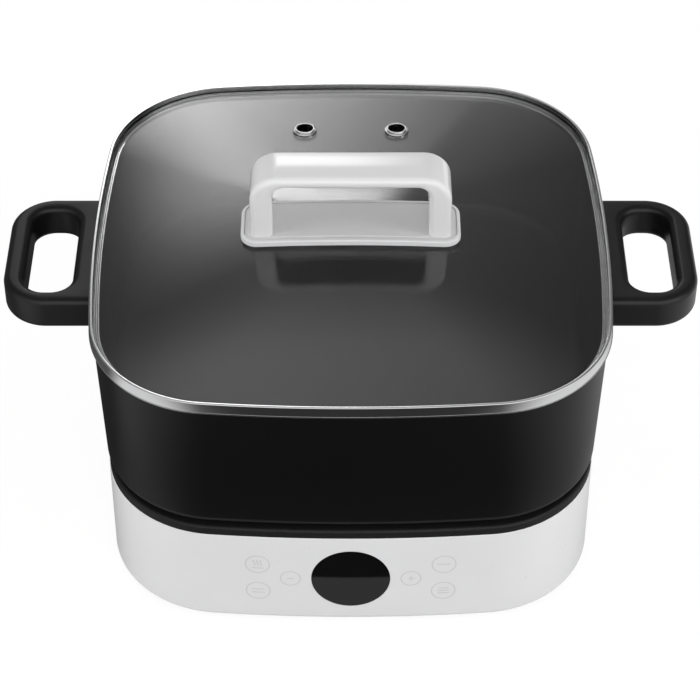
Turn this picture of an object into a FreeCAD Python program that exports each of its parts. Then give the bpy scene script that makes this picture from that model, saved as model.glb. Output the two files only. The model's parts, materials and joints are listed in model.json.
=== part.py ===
"""Electric hot pot with a domed glass lid, as a parametric FreeCAD document.

A white base with a touch panel carries a sprung-sensor heating plate in a black deck.
A rounded-square cast pot with two loop handles stands on the plate, and a glass lid with
a rolled steel rim, two steam vents and a bridge handle lies loose on the pot.

Units are millimetres.  +Z is up, the front faces -Y, and the origin is the centre of the
footprint on the surface that the feet stand on.
"""
import FreeCAD, Part
import math
import os
import Sketcher
from FreeCAD import Placement, Rotation, Vector

# --------------------------------------------------------------------------- driving sizes
SIZES = {
    # Plan outline of the pot's mouth: four shallow side arcs and four corner arcs.
    "plan_half": 145.0,
    "side_radius": 900.0,
    "corner_radius": 69.0,
    # Clearances between pieces that meet.
    "fit_gap": 0.3,
    "slip_gap": 0.15,
    "cast_gap": 0.05,
    # White base housing.
    "foot_height": 2.5,
    "housing_height": 66.3,
    "housing_inset": 3.2,
    "housing_wall": 2.6,
    "housing_floor": 4.6,
    "housing_ledge": 11.0,
    "housing_foot_round": 4.0,
    "housing_top_round": 0.8,
    "cover_thick": 2.4,
    "cover_overlap": 8.0,
    "screw_boss_radius": 3.5,
    "screw_boss_rise": 6.0,
    # Feet.
    "foot_inset": 49.0,
    "foot_radius": 10.0,
    "foot_stem_radius": 3.0,
    "foot_barb": 1.2,
    # Vent slots in the bottom cover.
    "slot_length": 44.0,
    "slot_width": 3.0,
    "slot_pitch": 8.0,
    "slot_rows": 9.0,
    "slot_inset": 38.0,
    # Black deck.
    "deck_rise": 5.7,
    "deck_inset": 3.6,
    "deck_round": 2.0,
    "deck_rim": 7.0,
    "deck_dish": 1.5,
    "deck_thick": 2.5,
    "deck_skirt": 2.0,
    "deck_rib_depth": 2.5,
    "deck_post_radius": 4.5,
    "deck_boss_radius": 4.0,
    "deck_boss_depth": 4.0,
    # Heating plate, its seal and its tubular element.
    "pot_gap": 1.6,
    "plate_radius": 90.0,
    "plate_thick": 9.0,
    "plate_edge": 1.2,
    "seal_gap": 2.0,
    "seal_lip": 5.0,
    "seal_thick": 1.0,
    "element_ring": 66.0,
    "element_radius": 4.0,
    "element_proud": 2.0,
    "element_gap_angle": 40.0,
    "element_bearing": 180.0,
    "element_tail": 24.0,
    "tail_gap": 1.8,
    "fixing_depth": 2.5,
    "plate_boss_place": 80.0,
    "plate_boss_radius": 6.5,
    "plate_boss_depth": 5.0,
    # Heat shield under the plate.
    "shield_radius": 96.0,
    "shield_sheet": 0.6,
    "shield_depth": 16.5,
    "shield_flange": 10.0,
    "shield_screw_ring": 101.0,
    # Sprung temperature sensor.
    "sensor_radius": 12.5,
    "sensor_hole_gap": 1.0,
    "sensor_thick": 2.5,
    "sensor_wall": 1.2,
    "sensor_skirt": 9.0,
    "sensor_stem_radius": 2.6,
    "sensor_stem_reach": 5.0,
    "sensor_rise": 2.0,
    "guide_flange": 18.0,
    "guide_thick": 1.2,
    "guide_wall": 2.0,
    "guide_height": 9.0,
    "spring_radius": 7.6,
    "spring_wire": 1.0,
    "spring_turns": 5.0,
    "clip_thick": 1.0,
    "clip_reach": 3.0,
    # Thermal cut-out and thermal fuse under the plate.
    "cutout_place": 40.0,
    "cutout_radius": 8.0,
    "cutout_depth": 7.0,
    "cutout_ear": 11.0,
    "tab_length": 9.0,
    "tab_width": 4.8,
    "tab_thick": 0.8,
    "fuse_radius": 3.0,
    "fuse_length": 22.0,
    "clip_strap": 8.0,
    # Power board and what stands on it.
    "board_thick": 1.6,
    "board_rise": 6.0,
    "board_length": 128.0,
    "board_depth": 62.0,
    "board_place": 66.0,
    "board_margin": 6.0,
    "board_post_radius": 3.5,
    "relay_x": -44.0,
    "relay_y": 13.0,
    "relay_length": 28.0,
    "relay_depth": 13.0,
    "relay_height": 16.0,
    "component_round": 1.0,
    "transformer_x": -10.0,
    "transformer_y": 16.0,
    "transformer_length": 20.0,
    "transformer_depth": 18.0,
    "transformer_base": 3.0,
    "transformer_core": 8.0,
    "transformer_height": 14.0,
    "capacitor_x": 16.0,
    "capacitor_pitch": 17.0,
    "capacitor_radius": 6.3,
    "capacitor_height": 21.0,
    "sink_x": -36.0,
    "sink_y": -16.0,
    "sink_length": 38.0,
    "sink_web": 3.0,
    "sink_height": 24.0,
    "sink_fin": 1.6,
    "sink_fins": 6.0,
    "sink_fin_reach": 12.0,
    "switch_width": 10.0,
    "switch_thick": 4.5,
    "switch_height": 15.0,
    "switch_leg": 4.0,
    "terminal_x": 30.0,
    "terminal_length": 44.0,
    "terminal_depth": 14.0,
    "terminal_height": 12.0,
    "terminal_step": 4.0,
    # Control board behind the front wall.
    "control_length": 140.0,
    "control_height": 40.0,
    "control_gap": 7.5,
    "wall_post_radius": 3.0,
    "display_height": 36.6,
    "display_radius": 22.2,
    "module_half": 18.0,
    "module_half_height": 13.0,
    "module_thick": 5.4,
    "key_radius": 4.5,
    "key_waist": 2.7,
    "key_disc": 0.8,
    "key_reach": 5.6,
    "key_outer_x": 52.4,
    "key_inner_x": 34.0,
    "key_high": 47.0,
    "key_middle": 36.4,
    "key_low": 25.6,
    "buzzer_x": -40.0,
    "buzzer_radius": 6.0,
    "buzzer_hole": 1.2,
    "buzzer_height": 7.5,
    # Power inlet at the back.
    "inlet_height": 27.5,
    "inlet_width": 28.0,
    "inlet_tall": 20.0,
    "inlet_round": 3.0,
    "inlet_wall": 2.0,
    "inlet_depth": 17.0,
    "inlet_recess": 0.8,
    "inlet_flange": 2.0,
    "inlet_ear": 9.0,
    "inlet_boss": 5.0,
    "pin_spacing": 14.0,
    "pin_width": 4.0,
    "pin_thick": 2.0,
    "pin_drop": 4.0,
    "pin_length": 14.0,
    # Screws.
    "small_screw": 1.5,
    "small_head": 2.8,
    "small_head_height": 1.8,
    "large_screw": 2.0,
    "large_head": 3.6,
    "large_head_height": 2.4,
    "small_screw_length": 4.5,
    "large_screw_length": 12.0,
    # Pot.
    "pot_height": 88.8,
    "pot_draft": 2.8,
    "pot_wall": 3.0,
    "pot_floor": 3.4,
    "pot_foot_round": 8.0,
    "pot_inner_round": 9.0,
    "pot_lip_round": 1.0,
    "lug_half": 16.0,
    "lug_thick": 8.0,
    "lug_reach": 7.5,
    "lug_thread": 6.0,
    # Side handles.
    "handle_top_drop": 3.7,
    "handle_thick": 20.8,
    "handle_half": 46.5,
    "handle_root": 12.4,
    "handle_hole": 27.2,
    "handle_bar": 12.1,
    "handle_arm": 10.0,
    "handle_outer_corner": 25.0,
    "handle_hole_flat": 1.5,
    "handle_round": 4.2,
    "handle_screw_spread": 9.0,
    # Lid: rolled rim and domed glass.
    "rim_sheet": 0.5,
    "rim_overhang": 2.2,
    "rim_hem_rise": 0.9,
    "rim_skirt": 3.8,
    "rim_skirt_wall": 0.7,
    "rim_shoulder": 0.8,
    "rim_ridge_reach": 1.25,
    "rim_ridge_rise": 3.6,
    "rim_flange": 4.0,
    "rim_round": 0.4,
    "glass_thick": 3.2,
    "glass_inset": 0.8,
    "dome_rise": 9.9,
    # Steam vents.
    "vent_spread": 27.4,
    "vent_back": 95.0,
    "vent_bore": 4.9,
    "vent_neck": 0.5,
    "vent_flange": 7.2,
    "vent_flange_thick": 1.3,
    "vent_under": 6.4,
    "vent_under_thick": 0.8,
    "vent_hole": 5.8,
    # Lid handle.
    "gasket_thick": 0.6,
    "seat_half": 62.2,
    "seat_half_depth": 18.7,
    "seat_corner": 10.0,
    "seat_thick": 2.9,
    "seat_round": 1.0,
    "seat_ledge": 2.25,
    "seat_ledge_drop": 0.5,
    "gasket_rim": 2.0,
    "bridge_half": 56.6,
    "bridge_half_depth": 14.0,
    "bridge_height": 39.0,
    "bridge_bar": 6.8,
    "bridge_leg": 12.6,
    "bridge_corner": 16.0,
    "bridge_inner_corner": 7.0,
    "bridge_round": 3.4,
    "bridge_inner_round": 3.2,
    "glass_hole": 3.0,
    "insert_radius": 3.0,
    "insert_length": 10.0,
    "lid_screw_place": 50.0,
    "washer_radius": 7.5,
    "washer_thick": 1.0,
    "seal_washer_thick": 1.5,
}

document = FreeCAD.newDocument("electric_hot_pot")


def make_sheet():
    """Write every driving size into the spreadsheet as a plain number with an alias."""
    sheet = document.addObject("Spreadsheet::Sheet", "Sizes")
    for row, (alias, value) in enumerate(SIZES.items(), start=1):
        sheet.set(f"A{row}", alias.replace("_", " "))
        sheet.set(f"B{row}", str(value))
        sheet.setAlias(f"B{row}", alias)
    document.recompute()
    return sheet


class Size:
    """A length or number, kept together with the spreadsheet expression that gives it."""

    def __init__(self, text, value):
        self.text = text
        self.value = float(value)

    def _join(self, other, sign, result):
        return Size(f"({self.text} {sign} {other.text})", result)

    def __add__(self, other):
        other = as_size(other)
        return self._join(other, "+", self.value + other.value)

    def __sub__(self, other):
        other = as_size(other)
        return self._join(other, "-", self.value - other.value)

    def __mul__(self, other):
        other = as_size(other)
        return self._join(other, "*", self.value * other.value)

    def __truediv__(self, other):
        other = as_size(other)
        return self._join(other, "/", self.value / other.value)

    def __neg__(self):
        return self * -1


def as_size(number):
    """Return number as a Size, whether it is one already or a plain constant."""
    if isinstance(number, Size):
        return number
    return Size(repr(float(number)), number)


def square_root(size):
    """The square root of a Size."""
    return Size(f"sqrt({size.text})", math.sqrt(size.value))


class Cells:
    """The spreadsheet's aliases as attributes, each one a Size."""

    def __init__(self, sizes):
        for alias, value in sizes.items():
            setattr(self, alias, Size(f"Sizes.{alias}", value))


sheet = make_sheet()
s = Cells(SIZES)
ZERO = as_size(0)

# ------------------------------------------------------------- levels and radii that follow
base_bottom = s.foot_height
base_top = base_bottom + s.housing_height
floor_top = base_bottom + s.housing_floor
foot_place = s.plan_half - s.foot_inset
slot_place = foot_place - s.slot_inset
deck_top = base_top + s.deck_rise
deck_field = deck_top - s.deck_dish
deck_under = deck_field - s.deck_thick
plate_top = deck_top + s.pot_gap
plate_under = plate_top - s.plate_thick
pot_top = plate_top + s.pot_height
pot_inner_floor = plate_top + s.pot_floor
rim_under = pot_top
glass_under = rim_under + s.rim_sheet
glass_edge = glass_under + s.glass_thick
rim_top = glass_edge + s.rim_ridge_rise
dome_top = glass_edge + s.dome_rise
seat_top = dome_top + s.gasket_thick + s.seat_thick
bridge_top = seat_top + s.bridge_height
handle_top = pot_top - s.handle_top_drop
handle_under = handle_top - s.handle_thick
shield_top = deck_under - s.deck_boss_depth
shield_floor = shield_top - s.shield_depth
shield_under = shield_floor - s.shield_sheet
housing_inner = s.housing_inset + s.housing_wall
wall_outside = s.plan_half - s.housing_inset
wall_inside = s.plan_half - housing_inner
sensor_bore = s.sensor_radius + s.sensor_hole_gap
opening_radius = s.plate_radius + s.seal_gap
cover_top = base_bottom + s.cover_thick
board_under = cover_top + s.board_rise
board_top = board_under + s.board_thick

# The side arcs' centres lie centre_reach behind the origin, and the corner arcs' centres
# corner_place from both axes, which makes every corner arc tangent to its two side arcs.
centre_reach = s.side_radius - s.plan_half
centre_step = s.side_radius - s.corner_radius
corner_root = square_root(centre_step * centre_step * 8 - centre_reach * centre_reach * 4)
corner_place = (corner_root - centre_reach * 2) / 4


def diagonal(inset):
    """The x and y of the plan outline's corner on the diagonal, drawn in by inset."""
    return corner_place + (s.corner_radius - inset) * math.sqrt(0.5)


# ------------------------------------------------------------------------ sketching helpers
def new_body(name):
    """Start a sub-part; its label is its name."""
    body = document.addObject("PartDesign::Body", name)
    body.Label = name
    return body


def new_sketch(body, role="XY_Plane", offset=ZERO):
    """Attach an empty sketch to one of the body's origin planes, moved along its normal."""
    planes = {feature.Role: feature for feature in body.Origin.OriginFeatures}
    sketch = body.newObject("Sketcher::SketchObject", f"{body.Label}_sketch")
    sketch.AttachmentSupport = [(planes[role], "")]
    sketch.MapMode = "FlatFace"
    sketch.AttachmentOffset = Placement(Vector(0, 0, offset.value), Rotation())
    sketch.setExpression("AttachmentOffset.Base.z", offset.text)
    return sketch


def dimension(sketch, kind, *where):
    """Add a dimension whose last argument is a Size, and bind it to its expression."""
    size = where[-1]
    index = sketch.addConstraint(Sketcher.Constraint(kind, *where[:-1], size.value))
    sketch.setExpression(f"Constraints[{index}]", size.text)


def pin(sketch, geometry, point, x, y):
    """Dimension a point of the sketch from the origin along both axes."""
    dimension(sketch, "DistanceX", -1, 1, geometry, point, x)
    dimension(sketch, "DistanceY", -1, 1, geometry, point, y)


def arc(sketch, centre, radius, start, end):
    """Add a counter-clockwise arc; the angles are in radians."""
    circle_curve = Part.Circle(Vector(centre[0], centre[1], 0), Vector(0, 0, 1), radius)
    return sketch.addGeometry(Part.ArcOfCircle(circle_curve, start, end), False)


def line(sketch, start, end):
    """Add a straight line between two (x, y) points."""
    segment = Part.LineSegment(Vector(start[0], start[1], 0), Vector(end[0], end[1], 0))
    return sketch.addGeometry(segment, False)


def circle(sketch, x, y, radius):
    """Add a circle with its centre pinned and its radius bound."""
    full = Part.Circle(Vector(x.value, y.value, 0), Vector(0, 0, 1), radius.value)
    geometry = sketch.addGeometry(full, False)
    pin(sketch, geometry, 3, x, y)
    dimension(sketch, "Radius", geometry, radius)


def polygon(sketch, points):
    """Close straight lines through (x, y) points, each of them pinned."""
    count = len(points)
    corners = [(as_size(x), as_size(y)) for x, y in points]
    first = sketch.GeometryCount
    for index in range(count):
        here = corners[index]
        there = corners[(index + 1) % count]
        line(sketch, (here[0].value, here[1].value), (there[0].value, there[1].value))
    for index in range(count):
        following = first + (index + 1) % count
        sketch.addConstraint(Sketcher.Constraint("Coincident", first + index, 2, following, 1))
        pin(sketch, first + index, 1, *corners[index])


def rectangle(sketch, left, bottom, right, top):
    """Close a rectangle between two pinned corners."""
    first = sketch.GeometryCount
    corners = [(left, bottom), (right, bottom), (right, top), (left, top)]
    values = [(as_size(x).value, as_size(y).value) for x, y in corners]
    for index in range(4):
        line(sketch, values[index], values[(index + 1) % 4])
    for index in range(4):
        following = first + (index + 1) % 4
        sketch.addConstraint(Sketcher.Constraint("Coincident", first + index, 2, following, 1))
        kind = "Horizontal" if index % 2 == 0 else "Vertical"
        sketch.addConstraint(Sketcher.Constraint(kind, first + index))
    pin(sketch, first, 1, as_size(left), as_size(bottom))
    pin(sketch, first + 2, 1, as_size(right), as_size(top))


def rounded_rectangle(sketch, left, bottom, right, top, radius):
    """Close a rectangle with four equal corner arcs, tangent to its sides."""
    left, bottom, right, top = (as_size(edge) for edge in (left, bottom, right, top))
    first = sketch.GeometryCount
    x0, y0, x1, y1, r = left.value, bottom.value, right.value, top.value, radius.value
    quarter = math.pi / 2
    line(sketch, (x0 + r, y0), (x1 - r, y0))
    arc(sketch, (x1 - r, y0 + r), r, -quarter, 0)
    line(sketch, (x1, y0 + r), (x1, y1 - r))
    arc(sketch, (x1 - r, y1 - r), r, 0, quarter)
    line(sketch, (x1 - r, y1), (x0 + r, y1))
    arc(sketch, (x0 + r, y1 - r), r, quarter, 2 * quarter)
    line(sketch, (x0, y1 - r), (x0, y0 + r))
    arc(sketch, (x0 + r, y0 + r), r, 2 * quarter, 3 * quarter)
    # A line meets the next arc end to start all the way round.
    for index in range(8):
        following = first + (index + 1) % 8
        sketch.addConstraint(Sketcher.Constraint("Tangent", first + index, 2, following, 1))
    for index, kind in ((0, "Horizontal"), (2, "Vertical"), (4, "Horizontal"), (6, "Vertical")):
        sketch.addConstraint(Sketcher.Constraint(kind, first + index))
    for index in (3, 5, 7):
        sketch.addConstraint(Sketcher.Constraint("Equal", first + 1, first + index))
    dimension(sketch, "Radius", first + 1, radius)
    dimension(sketch, "DistanceY", -1, 1, first, 1, bottom)
    dimension(sketch, "DistanceX", -1, 1, first + 2, 1, right)
    dimension(sketch, "DistanceY", -1, 1, first + 4, 1, top)
    dimension(sketch, "DistanceX", -1, 1, first + 6, 1, left)


def rounded_square(sketch, inset=ZERO, scale=None):
    """Close the plan outline: drawn in evenly by inset, or shrunk about the centre by scale."""
    factor = as_size(1) if scale is None else scale
    side = (s.side_radius - inset) * factor
    corner = (s.corner_radius - inset) * factor
    reach = centre_reach * factor
    centre_place = corner_place.value * factor.value
    half_angle = math.atan2(centre_place, centre_place + reach.value)
    first = sketch.GeometryCount
    for quarter in range(4):
        turn = quarter * math.pi / 2
        side_centre = (-reach.value * math.cos(turn), -reach.value * math.sin(turn))
        arc(sketch, side_centre, side.value, turn - half_angle, turn + half_angle)
        slant = turn + math.pi / 4
        away = centre_place * math.sqrt(2)
        centre = (away * math.cos(slant), away * math.sin(slant))
        arc(sketch, centre, corner.value, turn + half_angle, turn + math.pi / 2 - half_angle)
    for index in range(8):
        following = first + (index + 1) % 8
        sketch.addConstraint(Sketcher.Constraint("Tangent", first + index, 2, following, 1))
    for quarter in range(4):
        axis = -1 if quarter % 2 == 0 else -2
        geometry = first + 2 * quarter
        sketch.addConstraint(Sketcher.Constraint("PointOnObject", geometry, 3, axis))
        dimension(sketch, "Distance", -1, 1, geometry, 3, reach)
    for offset, radius in ((0, side), (1, corner)):
        dimension(sketch, "Radius", first + offset, radius)
        for quarter in range(1, 4):
            other = first + offset + 2 * quarter
            sketch.addConstraint(Sketcher.Constraint("Equal", first + offset, other))


# ------------------------------------------------------------------------- feature helpers
def bind(feature, name, size):
    """Set a feature's property and bind it to its expression."""
    setattr(feature, name, size.value)
    feature.setExpression(name, size.text)


def extrude(body, kind, sketch, length, reverse=False, both=False):
    """Pad or pocket a sketch; both spreads the length evenly to its two sides."""
    feature = body.newObject(f"PartDesign::{kind}", f"{body.Label}_{kind.lower()}")
    feature.Profile = sketch
    bind(feature, "Length", length)
    feature.Reversed = reverse
    if both:
        feature.SideType = "Symmetric"
    return feature


def pad(body, sketch, length, reverse=False, both=False):
    """Add material along the sketch's normal."""
    return extrude(body, "Pad", sketch, length, reverse, both)


def pocket(body, sketch, length, reverse=False, both=False):
    """Remove material against the sketch's normal, or along it when reversed."""
    return extrude(body, "Pocket", sketch, length, reverse, both)


def revolve(body, sketch, kind="Revolution"):
    """Turn a profile on the XZ plane once round the Z axis."""
    feature = body.newObject(f"PartDesign::{kind}", f"{body.Label}_{kind.lower()}")
    feature.Profile = sketch
    feature.ReferenceAxis = (sketch, ["V_Axis"])
    feature.Angle = 360
    return feature


def edges_of(feature, wanted):
    """Names of the feature's edges for which wanted(edge) is true."""
    edges = feature.Shape.Edges
    return [f"Edge{number}" for number, edge in enumerate(edges, start=1) if wanted(edge)]


def at_level(level):
    """Pick edges that lie in one horizontal plane."""
    def wanted(edge):
        box = edge.BoundBox
        return abs(box.ZMin - level.value) < 0.01 and abs(box.ZMax - level.value) < 0.01
    return wanted


def round_edges(body, feature, wanted, radius, kind="Fillet"):
    """Fillet or chamfer the edges that wanted picks."""
    document.recompute()
    names = edges_of(feature, wanted)
    if not names:
        raise ValueError(f"no edge to round on {body.Label}")
    rounding = body.newObject(f"PartDesign::{kind}", f"{body.Label}_{kind.lower()}")
    rounding.Base = (feature, names)
    bind(rounding, "Radius" if kind == "Fillet" else "Size", radius)
    return rounding


def turned(name, *profiles):
    """A sub-part made by turning closed (radius, height) profiles round the Z axis."""
    body = new_body(name)
    for profile in profiles:
        sketch = new_sketch(body, "XZ_Plane")
        polygon(sketch, profile)
        revolve(body, sketch)
    return body


def section_bar(body, x, y, radius, low, high):
    """Pad an upright round bar between two levels."""
    sketch = new_sketch(body, offset=low)
    circle(sketch, as_size(x), as_size(y), radius)
    return pad(body, sketch, high - low)


def bore(body, x, y, radius, low, high):
    """Cut an upright round hole between two levels."""
    sketch = new_sketch(body, offset=low)
    circle(sketch, as_size(x), as_size(y), radius)
    return pocket(body, sketch, high - low, reverse=True)


def block(body, left, front, right, back, low, high):
    """Pad an upright rectangular block between two levels."""
    sketch = new_sketch(body, offset=low)
    rectangle(sketch, left, front, right, back)
    return pad(body, sketch, high - low)


def ring_points(count, radius, start):
    """Points evenly spaced round the Z axis, as pairs of Sizes; start is in degrees."""
    points = []
    for index in range(count):
        angle = math.radians(start + 360.0 * index / count)
        points.append((radius * math.cos(angle), radius * math.sin(angle)))
    return points


def square_points(x, y):
    """The four places (+-x, +-y)."""
    return [(x * right, y * back) for right in (-1, 1) for back in (-1, 1)]


def place(body, x=ZERO, y=ZERO, z=ZERO, rotation=None):
    """Set the sub-part's Placement and bind its position."""
    x, y, z = as_size(x), as_size(y), as_size(z)
    body.Placement = Placement(Vector(x.value, y.value, z.value), rotation or Rotation())
    for axis, size in (("x", x), ("y", y), ("z", z)):
        body.setExpression(f"Placement.Base.{axis}", size.text)


def screw_group(name, places, seat, head, head_height, shank, length, role="XY_Plane", flip=False):
    """Pan-head screws as separate solids: heads behind the seat plane, shanks beyond it."""
    body = new_body(name)
    heads = new_sketch(body, role, seat)
    shanks = new_sketch(body, role, seat)
    for x, y in places:
        circle(heads, as_size(x), as_size(y), head)
        circle(shanks, as_size(x), as_size(y), shank)
    pad(body, heads, head_height, reverse=not flip)
    pad(body, shanks, length, reverse=flip)
    return body


# ------------------------------------------------------------------------- base: housing
opening_inset = housing_inner + s.housing_ledge
cover_inset = opening_inset - s.cover_overlap + s.fit_gap
cover_screw_place = s.plan_half - opening_inset + s.cover_overlap / 2
cover_screws_at = [
    (cover_screw_place, ZERO),
    (ZERO, cover_screw_place),
    (-cover_screw_place, ZERO),
    (ZERO, -cover_screw_place),
]
post_place = diagonal(housing_inner + s.housing_ledge / 2)
posts_at = square_points(post_place, post_place)
cover_thread_top = floor_top + s.screw_boss_rise / 2
control_post_x = s.control_length / 2 - s.board_margin
control_post_z = s.control_height / 2 - s.board_margin
control_posts_at = [
    (control_post_x * side, s.display_height + control_post_z * up)
    for side in (-1, 1) for up in (-1, 1)
]
control_face = wall_inside - s.control_gap
inlet_seat = wall_inside - s.inlet_boss
inlet_ear_x = s.inlet_width / 2 + s.inlet_ear / 2
inlet_ears_at = [(inlet_ear_x, s.inlet_height), (-inlet_ear_x, s.inlet_height)]
# Posts on the inside of the walls: sketch offset, places, length and whether they grow to +Y.
wall_posts = [
    (control_face, control_posts_at, s.control_gap, False),
    (-inlet_seat, inlet_ears_at, s.inlet_boss, True),
]


def make_base_housing():
    """White shell with a floor ledge, open to the deck above and the cover below."""
    body = new_body("base_housing")
    sketch = new_sketch(body, offset=base_bottom)
    rounded_square(sketch, s.housing_inset)
    shell = pad(body, sketch, s.housing_height)
    shell = round_edges(body, shell, at_level(base_bottom), s.housing_foot_round)
    round_edges(body, shell, at_level(base_top), s.housing_top_round)
    sketch = new_sketch(body, offset=base_top)
    rounded_square(sketch, housing_inner)
    pocket(body, sketch, s.housing_height - s.housing_floor)
    for x, y in cover_screws_at:
        section_bar(body, x, y, s.screw_boss_radius, cover_top, floor_top + s.screw_boss_rise)
    for face, places, gap, backward in wall_posts:
        sketch = new_sketch(body, "XZ_Plane", face)
        for x, z in places:
            circle(sketch, x, z, s.wall_post_radius)
        pad(body, sketch, gap + s.fit_gap, reverse=backward)
    sketch = new_sketch(body, offset=floor_top)
    rounded_square(sketch, opening_inset)
    pocket(body, sketch, s.housing_floor)
    sketch = new_sketch(body, offset=base_bottom)
    rounded_square(sketch, cover_inset - s.fit_gap)
    pocket(body, sketch, s.cover_thick, reverse=True)
    for x, y in cover_screws_at:
        bore(body, x, y, s.small_screw + s.cast_gap, cover_top, cover_thread_top)
    for x, y in posts_at:
        bore(body, x, y, s.large_screw + s.fit_gap, base_bottom, floor_top)
        bore(body, x, y, s.large_head + s.fit_gap, base_bottom, base_bottom + s.large_head_height)
    sketch = new_sketch(body, "XZ_Plane", s.plan_half)
    circle(sketch, ZERO, s.display_height, s.display_radius + s.slip_gap)
    pocket(body, sketch, housing_inner + s.fit_gap)
    sketch = new_sketch(body, "XZ_Plane", -s.plan_half)
    inlet_outline(sketch, s.slip_gap)
    pocket(body, sketch, housing_inner + s.fit_gap, reverse=True)
    for face, places, _, backward in wall_posts:
        sketch = new_sketch(body, "XZ_Plane", face)
        for x, z in places:
            circle(sketch, x, z, s.small_screw + s.cast_gap)
        pocket(body, sketch, s.small_screw_length - s.slip_gap, reverse=not backward)
    return body


def make_bottom_cover():
    """Flat cover let into the housing's floor, with vent slots and the board's posts."""
    body = new_body("bottom_cover")
    sketch = new_sketch(body, offset=base_bottom)
    rounded_square(sketch, cover_inset)
    pad(body, sketch, s.cover_thick)
    for x, y in board_posts_at:
        section_bar(body, x, y, s.board_post_radius, base_bottom, board_under)
    for x, y in board_posts_at:
        bore(body, x, y, s.small_screw + s.cast_gap, cover_top, board_under)
    for x, y in square_points(foot_place, foot_place):
        bore(body, x, y, s.foot_stem_radius + s.slip_gap, base_bottom, cover_top)
    for x, y in cover_screws_at:
        bore(body, x, y, s.small_screw + s.slip_gap, base_bottom, cover_top)
    for x, y in posts_at:
        bore(body, x, y, s.large_head + s.fit_gap, base_bottom, cover_top)
    sketch = new_sketch(body, offset=cover_top)
    front = -s.slot_pitch * (s.slot_rows - 1) / 2
    for side in (-1, 1):
        middle = slot_place * side
        rounded_rectangle(
            sketch,
            middle - s.slot_length / 2,
            front - s.slot_width / 2,
            middle + s.slot_length / 2,
            front + s.slot_width / 2,
            s.slot_width / 2 - s.cast_gap,
        )
    slots = pocket(body, sketch, s.cover_thick)
    rows = body.newObject("PartDesign::LinearPattern", "bottom_cover_slots")
    rows.Originals = [slots]
    rows.Direction = (sketch, ["V_Axis"])
    bind(rows, "Length", s.slot_pitch * (s.slot_rows - 1))
    rows.Occurrences = int(s.slot_rows.value)
    body.Tip = rows
    return body


def make_foot(name, x, y):
    """Rubber foot with a barbed stem that snaps through the bottom cover."""
    stem_top = cover_top + s.slip_gap
    barb_top = stem_top + s.foot_barb
    body = turned(name, [
        (ZERO, ZERO),
        (s.foot_radius - s.foot_barb, ZERO),
        (s.foot_radius, s.foot_height),
        (s.foot_stem_radius, s.foot_height),
        (s.foot_stem_radius, stem_top),
        (s.foot_stem_radius + s.foot_barb, stem_top),
        (s.foot_stem_radius, barb_top),
        (ZERO, barb_top),
    ])
    place(body, x, y)
    return body


# ----------------------------------------------------------------------------- base: deck
shield_screws_at = ring_points(4, s.shield_screw_ring, 45)
plate_bosses_at = ring_points(3, s.plate_boss_place, 90)


def make_deck():
    """Black heat-proof deck with a raised border, a locating rib and four screw posts."""
    body = new_body("deck")
    sketch = new_sketch(body, offset=base_top)
    rounded_square(sketch, s.deck_inset)
    border = pad(body, sketch, s.deck_rise)
    round_edges(body, border, at_level(deck_top), s.deck_round)
    sketch = new_sketch(body, offset=deck_top)
    rounded_square(sketch, s.deck_inset + s.deck_rim)
    pocket(body, sketch, s.deck_dish)
    sketch = new_sketch(body, offset=base_top)
    rounded_square(sketch, s.deck_inset + s.deck_rim)
    pocket(body, sketch, deck_under - base_top, reverse=True)
    sketch = new_sketch(body, offset=base_top)
    rounded_square(sketch, housing_inner + s.fit_gap)
    rounded_square(sketch, housing_inner + s.fit_gap + s.deck_skirt)
    pad(body, sketch, s.deck_rib_depth, reverse=True)
    for x, y in posts_at:
        section_bar(body, x, y, s.deck_post_radius, floor_top, deck_field)
    for x, y in shield_screws_at:
        section_bar(body, x, y, s.deck_boss_radius, shield_top, deck_field)
    bore(body, ZERO, ZERO, opening_radius, deck_under, deck_field)
    for x, y in posts_at:
        bore(body, x, y, s.large_screw + s.cast_gap, floor_top, floor_top + s.large_screw_length)
    for x, y in shield_screws_at:
        top = shield_top + s.small_screw_length
        bore(body, x, y, s.small_screw + s.cast_gap, shield_top, top)
    return body


def make_deck_seal():
    """Silicone seal between the heating plate's edge and the deck."""
    inner = s.plate_radius + s.slip_gap
    outer = opening_radius - s.slip_gap
    return turned("deck_seal", [
        (inner, deck_under),
        (outer, deck_under),
        (outer, deck_field),
        (opening_radius + s.seal_lip, deck_field),
        (opening_radius + s.seal_lip, deck_field + s.seal_thick),
        (inner, deck_field + s.seal_thick),
    ])


# -------------------------------------------------------------------- base: heating plate
element_level = plate_under + s.element_radius - s.element_proud
half_open = math.radians(s.element_gap_angle.value / 2)
tails_at = [
    (s.element_ring * -math.cos(half_open), s.element_ring * math.sin(half_open) * side)
    for side in (-1, 1)
]


def make_heating_plate():
    """Cast aluminium plate with a sensor bore, a groove for the element and three bosses."""
    body = turned("heating_plate", [
        (sensor_bore, plate_under),
        (s.plate_radius, plate_under),
        (s.plate_radius, plate_top - s.plate_edge),
        (s.plate_radius - s.plate_edge, plate_top),
        (sensor_bore, plate_top),
    ])
    boss_low = plate_under - s.plate_boss_depth
    for x, y in plate_bosses_at:
        section_bar(body, x, y, s.plate_boss_radius, boss_low, plate_under + s.plate_edge)
    sketch = new_sketch(body, "XZ_Plane")
    circle(sketch, s.element_ring, element_level, s.element_radius + s.cast_gap)
    revolve(body, sketch, "Groove")
    for x, y in plate_bosses_at:
        bore(body, x, y, s.large_screw + s.cast_gap, boss_low, plate_under)
    for x, y in tails_at:
        bore(body, x, y, s.element_radius + s.cast_gap, plate_under, element_level)
    for x, y in cutout_screws_at + clip_screws_at:
        top = plate_under + s.fixing_depth
        bore(body, x, y, s.small_screw + s.cast_gap, plate_under, top)
    return body


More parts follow.
